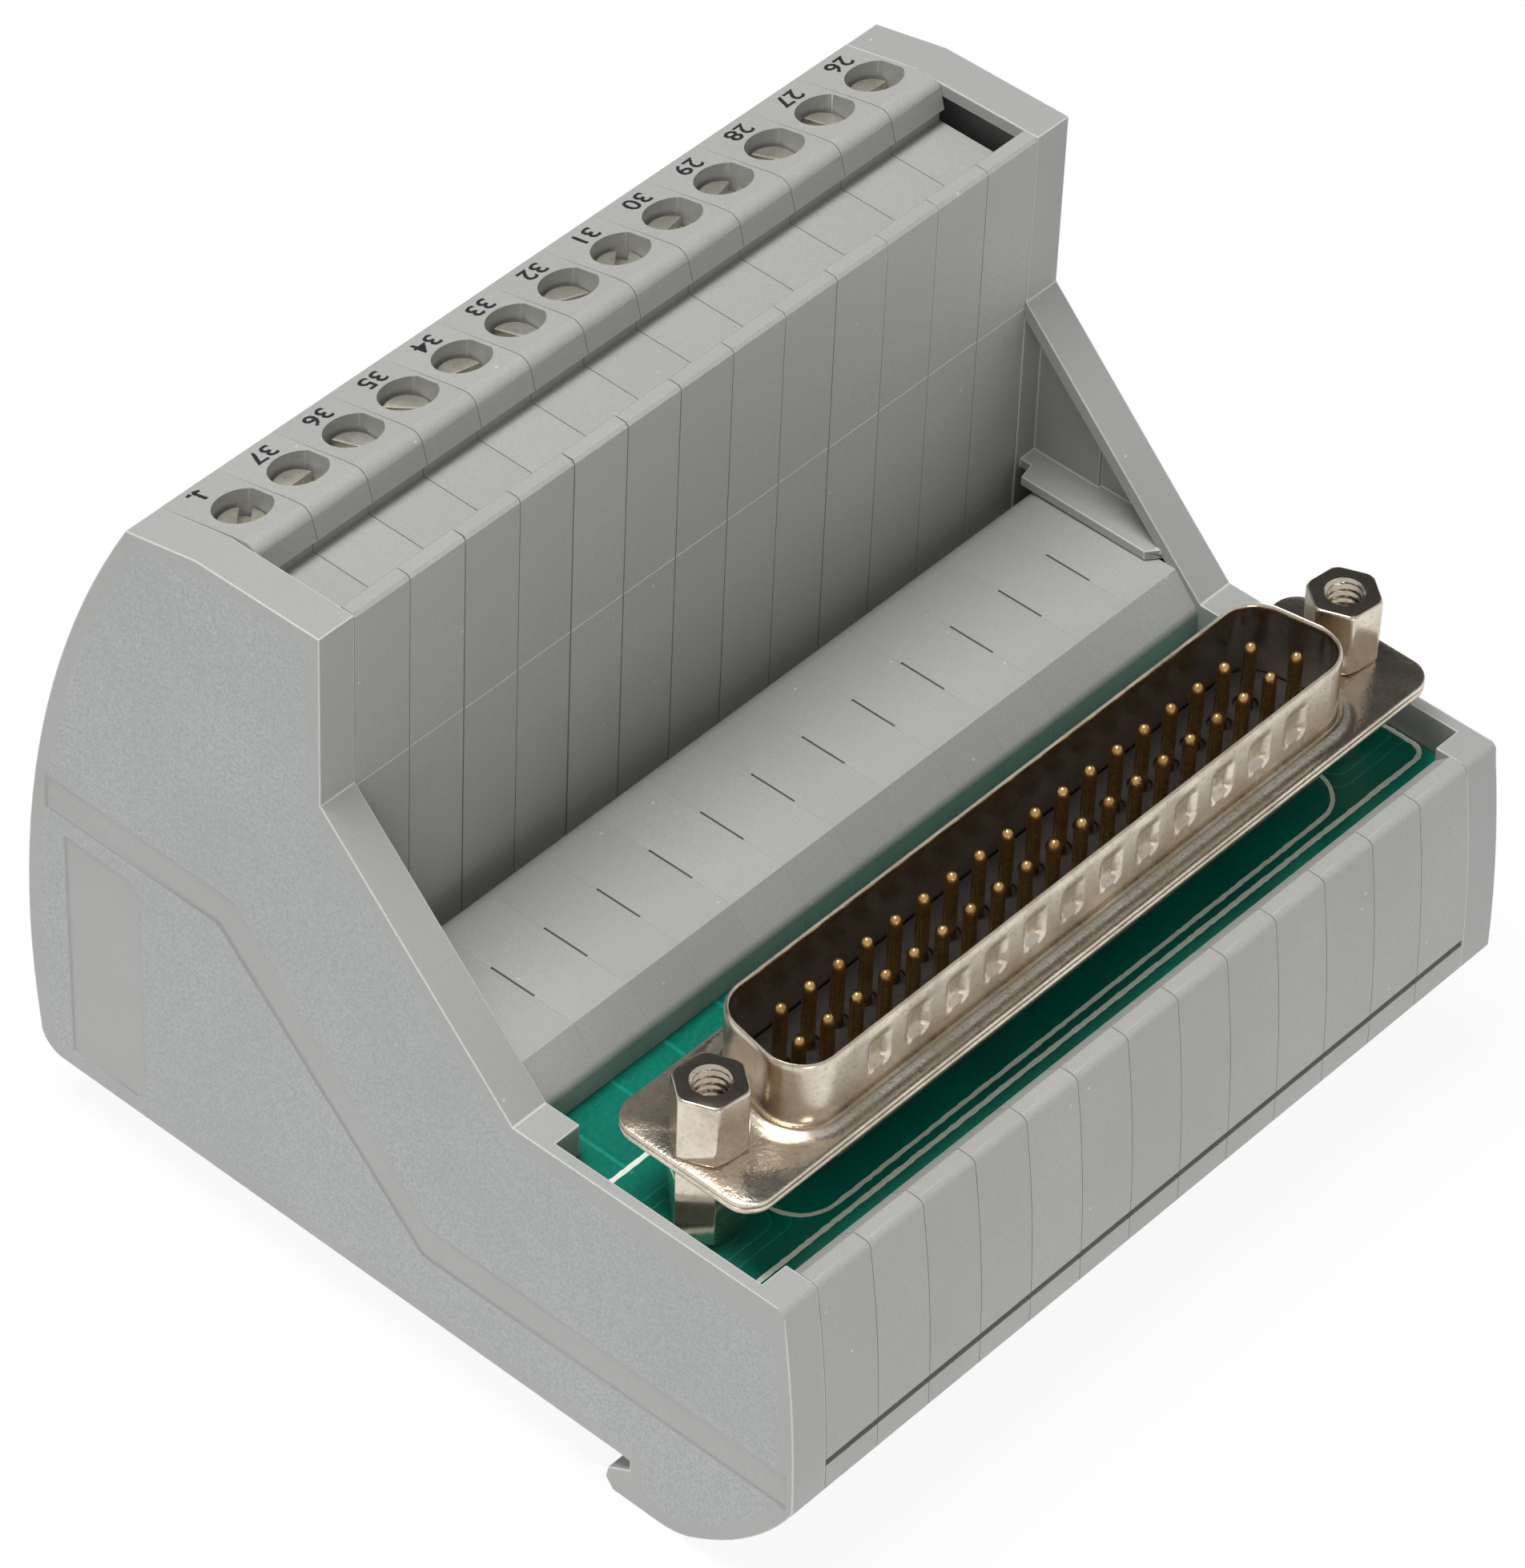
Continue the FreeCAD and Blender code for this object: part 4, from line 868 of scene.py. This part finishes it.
def make_pins():
    foot = 31.4
    points = [spot(x, depth, foot) for x, depth in pin_places()]
    tails = bmesh.new()
    for x, depth in pin_places():
        loops = [circle(x, depth, height, 0.42, 4, math.pi / 4) for height in (22.0, foot + 0.05)]
        made = ring_walls(tails, loops)
        tails.faces.new(made[0][::-1])
        tails.faces.new(made[1])
    values = {"Pin Radius": 0.505 * MM, "Pin Length": (38.05 - foot) * MM, "Tip Length": 0.85 * MM,
              "Sides": 12, "Rows": 9, "Finish": GOLD}
    mesh = grown(points, pin_tree(), values)
    tails.from_mesh(mesh)
    tails.to_mesh(mesh)
    tails.free()
    shade(mesh, 40.0)
    pins = put("plug_pins", mesh, "module", GOLD)
    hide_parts("plug_contact_pins")


# Where a hexagon's loop has points, in degrees to either side of the middle of a flat
FLAT_PARTS = (-28.2, -24.0, -18.0, -12.0, -6.0, 0.0, 6.0, 12.0, 18.0, 24.0, 28.2)


def hexagon(x, depth, height, across, limit, turn):
    """A level loop round a hexagon whose corners are turned down to a radius."""
    points = []
    for corner in range(6):
        for part in FLAT_PARTS:
            reach = min(across / 2 / math.cos(math.radians(part)), limit)
            angle = math.radians(corner * 60.0 + part + turn)
            points.append(spot_round(x, depth, height, reach, angle))
    return points


def threaded_wall(x, depth, top, bottom):
    """Loops down a threaded bore, counter-clockwise, from the countersink to the bottom."""
    crest, root, pitch, mouth, count, step = 1.14, 1.4, 0.635, 0.28, 72, 0.05
    rings = []
    for row in range(int((top - bottom) / step) + 1):
        height = top - row * step
        ring = []
        for n in range(count):
            turn = (height / pitch + n / count) % 1.0
            wave = 0.5 - 0.5 * math.cos(math.tau * turn)
            reach = crest + (root - crest) * wave ** 0.8
            reach = max(reach, crest + mouth - (top - height))
            angle = math.tau * n / count
            ring.append(spot_round(x, depth, height, reach, angle))
        rings.append(ring)
    return rings


def make_jack_screws():
    form = bmesh.new()
    foot, top, across, turn = FLANGE_TOP, FLANGE_TOP + 5.5, 4.75, 23.0
    # Each loop's height, how much slimmer than the flats it is, and the radius that limits its corners
    loops = [(foot + 0.04, 0.5, 2.22), (foot + 0.1, 0.1, 2.4), (foot + 0.2, 0.0, 2.56),
             (foot + 0.32, 0.0, 3.0), (top - 0.24, 0.0, 3.0), (top - 0.14, 0.0, 2.66),
             (top - 0.06, 0.04, 2.58), (top - 0.02, 0.12, 2.5), (top, 0.24, 2.42)]
    for x in JACK_X:
        walls = ring_walls(form, [hexagon(x, PLUG_DEPTH, height, across - slim, limit, turn)
                                  for height, slim, limit in loops])
        threads = ring_walls(form, threaded_wall(x, PLUG_DEPTH, top, top - 4.5)[::-1])
        form.faces.new(threads[0])
        fill_flat(form, [walls[-1], threads[-1]], 1)
        shank = ring_walls(form, [circle(x, PLUG_DEPTH, height, 1.38, 24) for height in (28.6, foot + 0.04)])
        form.faces.new(shank[0][::-1])
        fill_flat(form, [walls[0], shank[1]], -1)
    form.normal_update()
    piece = put("plug_jack_screws", mesh_from(form, 50.0, flat=True), "module", NICKEL)
    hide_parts("jack_screws")


def soften_node(source, name, body, material, width):
    """A fastener from its CAD node with its edges eased."""
    form = cad_copy(source)
    round_edges(form, width * MM, 25.0, 0.1 * MM)
    piece = put(name, mesh_from(form), body, material)
    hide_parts(source)


def make_fasteners():
    soften_node("board_standoffs", "plug_standoffs", "module", NICKEL, 0.07)
    for number in SLICES:
        soften_node("top_screw_%02d" % number, "clamp_screw_top_%02d" % number, "clamp_screw_%02d" % number,
                    SCREW, 0.05)


make_front_shell()
make_rear_shell()
make_insulator()
make_pins()
make_jack_screws()
make_fasteners()

# Print on the board and on the slices


def bar(form, rails, closed=False):
    """The faces of a long thin bar between four rails of vertices; an open one gets its two ends."""
    count = len(rails[0])
    for n in range(count if closed else count - 1):
        after = (n + 1) % count
        for first, second in zip(rails, rails[1:] + rails[:1]):
            form.faces.new((first[n], first[after], second[after], second[n]))
    if not closed:
        form.faces.new([rail[0] for rail in rails])
        form.faces.new([rail[-1] for rail in rails][::-1])


def ribbon(form, points, width, base, thickness, rough, closed=True):
    """A printed line with slightly ragged edges; its points are flat places along the row and in depth."""
    way = []
    count = len(points)
    for n in range(count if closed else count - 1):
        first, second = Vector(points[n]), Vector(points[(n + 1) % count])
        steps = max(1, int((second - first).length / 0.35))
        way.extend(first.lerp(second, k / steps) for k in range(steps))
    if not closed:
        way.append(Vector(points[-1]))
    left, right = [], []
    total = len(way)
    for n, here in enumerate(way):
        before = way[(n - 1) % total] if closed or n else here
        after = way[(n + 1) % total] if closed or n < total - 1 else here
        along = (after - before).normalized()
        across = Vector((-along.y, along.x))
        left.append(here + across * (width / 2 + rough * (RAGGED.random() - 0.5)))
        right.append(here - across * (width / 2 + rough * (RAGGED.random() - 0.5)))
    loops = []
    for height in (base, base + thickness):
        loops.append([[form.verts.new(spot(p.x, p.y, height)) for p in side] for side in (left, right)])
    (low_left, low_right), (top_left, top_right) = loops
    bar(form, [top_right, top_left, low_left, low_right], closed)


RAGGED = random.Random(37)


def plug_place(x, y):
    """A flat place on the board, from its place along and across the plug."""
    return (x + PLUG_X, y + PLUG_DEPTH)


def make_creases():
    """A thin raised line across the tall wall where two halves of the mould meet; its pale colour is a
    painted highlight along the crease.
    """
    form = bmesh.new()
    front, back, level, half, inset, parts = 42.185, 42.22, 44.95, 0.03, 0.09, 12
    for number in SLICES:
        start, end = slice_start(number) + inset, slice_start(number + 1) - inset
        middle = level + 0.09 * (RAGGED.random() - 0.5)
        low, high = middle - half, middle + half
        corners = ((front, low), (front, high), (back, high), (back, low))
        rails = [[], [], [], []]
        for n in range(parts + 1):
            x = start + (end - start) * n / parts
            slip = 0.02 * (RAGGED.random() - 0.5)
            for rail, (depth, height) in zip(rails, corners):
                rail.append(form.verts.new(spot(x, depth, height + slip)))
        bar(form, rails)
    face_outwards(form)
    piece = put("housing_creases", mesh_from(form), "module", CREASE_HIGHLIGHT)


def make_board_print():
    """Two white lines round the plug, and the tracks that show a little through the green."""
    form = bmesh.new()
    outer = ((-34.9, -5.95), (34.9, -5.95), (34.9, 6.85), (-34.9, 6.85))
    inner = ((-28.2, -5.0), (28.2, -5.0), (27.6, 5.0), (-27.6, 5.0))
    for corners, radius, steps, width in ((outer, 1.2, 5, 0.38), (inner, 3.2, 8, 0.34)):
        line = rounded([plug_place(*corner) for corner in corners], [radius] * 4, steps)
        ribbon(form, line, width, BOARD_TOP - 0.005, 0.025, 0.07)
    piece = put("board_silkscreen", mesh_from(form), "module", SILK)
    form = bmesh.new()
    for number in SLICES:
        x = slice_start(number) + 1.3
        ribbon(form, [(x, 18.5), (x, 25.4)], 0.3, BOARD_TOP - 0.01, 0.02, 0.02, False)
    for side in (-1, 1):
        for reach in (3.3, 4.2):
            corners = [plug_place(side * JACK_SPACE / 2 + x * reach, y * reach)
                       for x, y in ((-1, -1), (1, -1), (1, 1), (-1, 1))]
            ribbon(form, rounded(corners, [1.2] * 4), 0.16, BOARD_TOP - 0.01, 0.02, 0.02)
    piece = put("board_tracks", mesh_from(form), "module", TRACK)


def slice_surface():
    """A tree to find the height of the slices' top under a place."""
    form = bmesh.new()
    for number in SLICES:
        form.from_mesh(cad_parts["slice_housing_%02d" % number].data)
    tree = BVHTree.FromBMesh(form)
    form.free()
    return tree


def printed_word(word, x, depth, size):
    """Ink on the sloping top of a slice, read from the far end, as a mesh in place."""
    font = bpy.data.curves.new("mark", "FONT")
    font.body = word
    font.size = size * MM
    font.align_x = "CENTER"
    font.align_y = "CENTER"
    font.offset = 0.03 * MM
    font.resolution_u = 3
    form = bmesh.new()
    form.from_mesh(settled(link(bpy.data.objects.new("mark", font))))
    centre = spot(x, depth, 0)
    for vert in form.verts:
        vert.co = Vector((centre.x - vert.co.x, centre.y - vert.co.y, 0))
    return form


def earth_mark(x, depth):
    """The earth sign: a broken bar with a stem."""
    form = bmesh.new()
    for x1, y1, x2, y2 in ((-0.58, 0.02, -0.2, 0.0), (-0.06, 0.04, 0.46, -0.15), (0.02, -0.05, 0.05, -1.26)):
        start, end = Vector((x1, y1)), Vector((x2, y2))
        side = Vector((y1 - y2, x2 - x1)).normalized() * 0.14
        corners = [start - side, end - side, end + side, start + side]
        form.faces.new([form.verts.new(spot(x + c.x, depth + c.y, 0)) for c in corners])
    return form


def lay_ink(form, surface):
    """Drop flat ink onto the slices and give it a thin body with ragged edges."""
    bmesh.ops.triangulate(form, faces=form.faces)
    bmesh.ops.remove_doubles(form, verts=form.verts, dist=0.000005)
    rims = [e for e in form.edges if len(e.link_faces) == 1]
    bmesh.ops.subdivide_edges(form, edges=rims, cuts=2)
    bmesh.ops.triangulate(form, faces=form.faces)
    for vert in form.verts:
        if vert.is_boundary:
            vert.co.x += (RAGGED.random() - 0.5) * 0.05 * MM
            vert.co.y += (RAGGED.random() - 0.5) * 0.05 * MM
    form.normal_update()
    for face in form.faces:
        if face.normal.z < 0:
            face.normal_flip()
    top = bmesh.ops.extrude_face_region(form, geom=list(form.faces))
    raised = [v for v in top["geom"] if isinstance(v, bmesh.types.BMVert)]
    lifted = set(raised)
    for vert in form.verts:
        place, _, _, _ = surface.ray_cast(Vector((vert.co.x, vert.co.y, 0.08)), Vector((0, 0, -1)))
        vert.co.z = place.z + (0.012 * MM if vert in lifted else -0.004 * MM)
    face_outwards(form)


# The second slice is 37 and the numbers fall along the row
FIRST_NUMBER = 39


def make_marks():
    """The terminal numbers, and the earth sign on the first slice."""
    surface = slice_surface()
    whole = bmesh.new()
    for number in SLICES:
        if number == 1:
            form = earth_mark(-30.78, 58.8)
        else:
            x = slice_start(number) + SCREW_SIDE - 0.07
            form = printed_word(str(FIRST_NUMBER - number), x, 58.16, 2.05)
        lay_ink(form, surface)
        whole.from_mesh(plain_mesh(form))
    piece = put("terminal_numbers", mesh_from(whole), "module", MARKING)


make_creases()
make_board_print()
make_marks()

CAD_FINISHES = {
    "circuit_board": BOARD, "middle_screws": SCREW, "lower_screws": SCREW, "middle_cages": CAGE,
    "lower_cages": CAGE, "top_current_bars": BAR, "middle_current_bars": BAR, "lower_current_bars": BAR,
}
for number in SLICES:
    CAD_FINISHES["top_cage_%02d" % number] = CAGE
for source, material in CAD_FINISHES.items():
    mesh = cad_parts[source].data
    mesh.materials.clear()
    mesh.materials.append(material)

# Floor, light and camera


def mirrored_ray(tree, path):
    """1 where a surface mirrors the room or lets it show through, else 0."""
    return maths(tree, "MAXIMUM", path.outputs["Is Glossy Ray"], path.outputs["Is Transmission Ray"])


def mix_out(tree, kind, share, first, second):
    """Send a mix of two shaders to the output of a tree."""
    mix = node(tree, "ShaderNodeMixShader", {"Fac": share, 1: first.outputs[0], 2: second.outputs[0]})
    node(tree, kind, {"Surface": mix.outputs[0]})


def make_floor():
    form = bmesh.new()
    bmesh.ops.create_grid(form, x_segments=1, y_segments=1, size=3.0)
    mesh = plain_mesh(form)
    floor = link(bpy.data.objects.new("floor", mesh))
    floor.location.z = -0.0001
    made = bpy.data.materials.new("Floor White")
    tree = bare_tree(made)
    paint = node(tree, "ShaderNodeBsdfDiffuse", {"Color": (0.96, 0.96, 0.96, 1.0)})
    glow = node(tree, "ShaderNodeEmission", {"Color": (1.0, 1.0, 1.0, 1.0), "Strength": 1.0})
    path = tree.nodes.new("ShaderNodeLightPath")
    seen = maths(tree, "MAXIMUM", path.outputs["Is Camera Ray"], mirrored_ray(tree, path))
    mix_out(tree, "ShaderNodeOutputMaterial", maths(tree, "MULTIPLY", seen, 0.92), paint, glow)
    mesh.materials.append(made)


def make_lamp(name, place, aim, size, power):
    data = bpy.data.lights.new(name, "AREA")
    data.shape = "DISK"
    data.size = size
    data.energy = power
    lamp = link(bpy.data.objects.new(name, data))
    lamp.location = place
    lamp.rotation_mode = "QUATERNION"
    lamp.rotation_quaternion = (Vector(aim) - Vector(place)).to_track_quat("-Z", "Y")


# Which way the dark side of the room lies
DARK_SIDE = (0.547, 0.470, 0.693)


def make_world(strength):
    """Even soft light from a pale room with one dark side, which level metal mirrors."""
    world = bpy.data.worlds.new("Studio")
    bpy.context.scene.world = world
    tree = bare_tree(world)
    path = tree.nodes.new("ShaderNodeLightPath")
    way = tree.nodes.new("ShaderNodeTexCoord").outputs["Generated"]
    toward = node(tree, "ShaderNodeVectorMath", {0: way, 1: DARK_SIDE}, operation="DOT_PRODUCT")
    pale = spread(tree, toward.outputs["Value"], 0.68, 0.91, 1.0, 0.1)
    level = maths(tree, "MULTIPLY", pale, spread(tree, mirrored_ray(tree, path), 0.0, 1.0, strength, 0.6))
    soft = node(tree, "ShaderNodeBackground", {"Color": (1.0, 1.0, 1.0, 1.0), "Strength": level})
    white = node(tree, "ShaderNodeBackground", {"Color": (1.0, 1.0, 1.0, 1.0), "Strength": 1.0})
    mix_out(tree, "ShaderNodeOutputWorld", path.outputs["Is Camera Ray"], soft, white)


def make_camera():
    """The view of the photograph, fitted by the standard sizes of the plug."""
    data = bpy.data.cameras.new("photo_view")
    data.lens = 184.01
    data.sensor_width = 36.0
    data.clip_start = 0.01
    data.clip_end = 20.0
    camera = link(bpy.data.objects.new("photo_view", data))
    right = Vector((0.67158, -0.74042, 0.02739))
    up = Vector((0.49998, 0.48015, 0.72074))
    back = Vector((-0.54681, -0.47034, 0.69266))
    turn = Matrix((right, up, back)).transposed()
    camera.matrix_world = Matrix.Translation((-0.29742, -0.25498, 0.40311)) @ turn.to_4x4()
    bpy.context.scene.camera = camera


make_floor()
make_world(0.4)
make_lamp("key", (-0.14, 0.12, 0.87), (0.0, 0.0, 0.03), 0.44, 6.4)
make_lamp("fill", (-0.4, -0.7, 0.05), (0.0, 0.0, 0.02), 0.3, 1.05)
make_camera()

bpy.context.scene.view_settings.view_transform = "Standard"
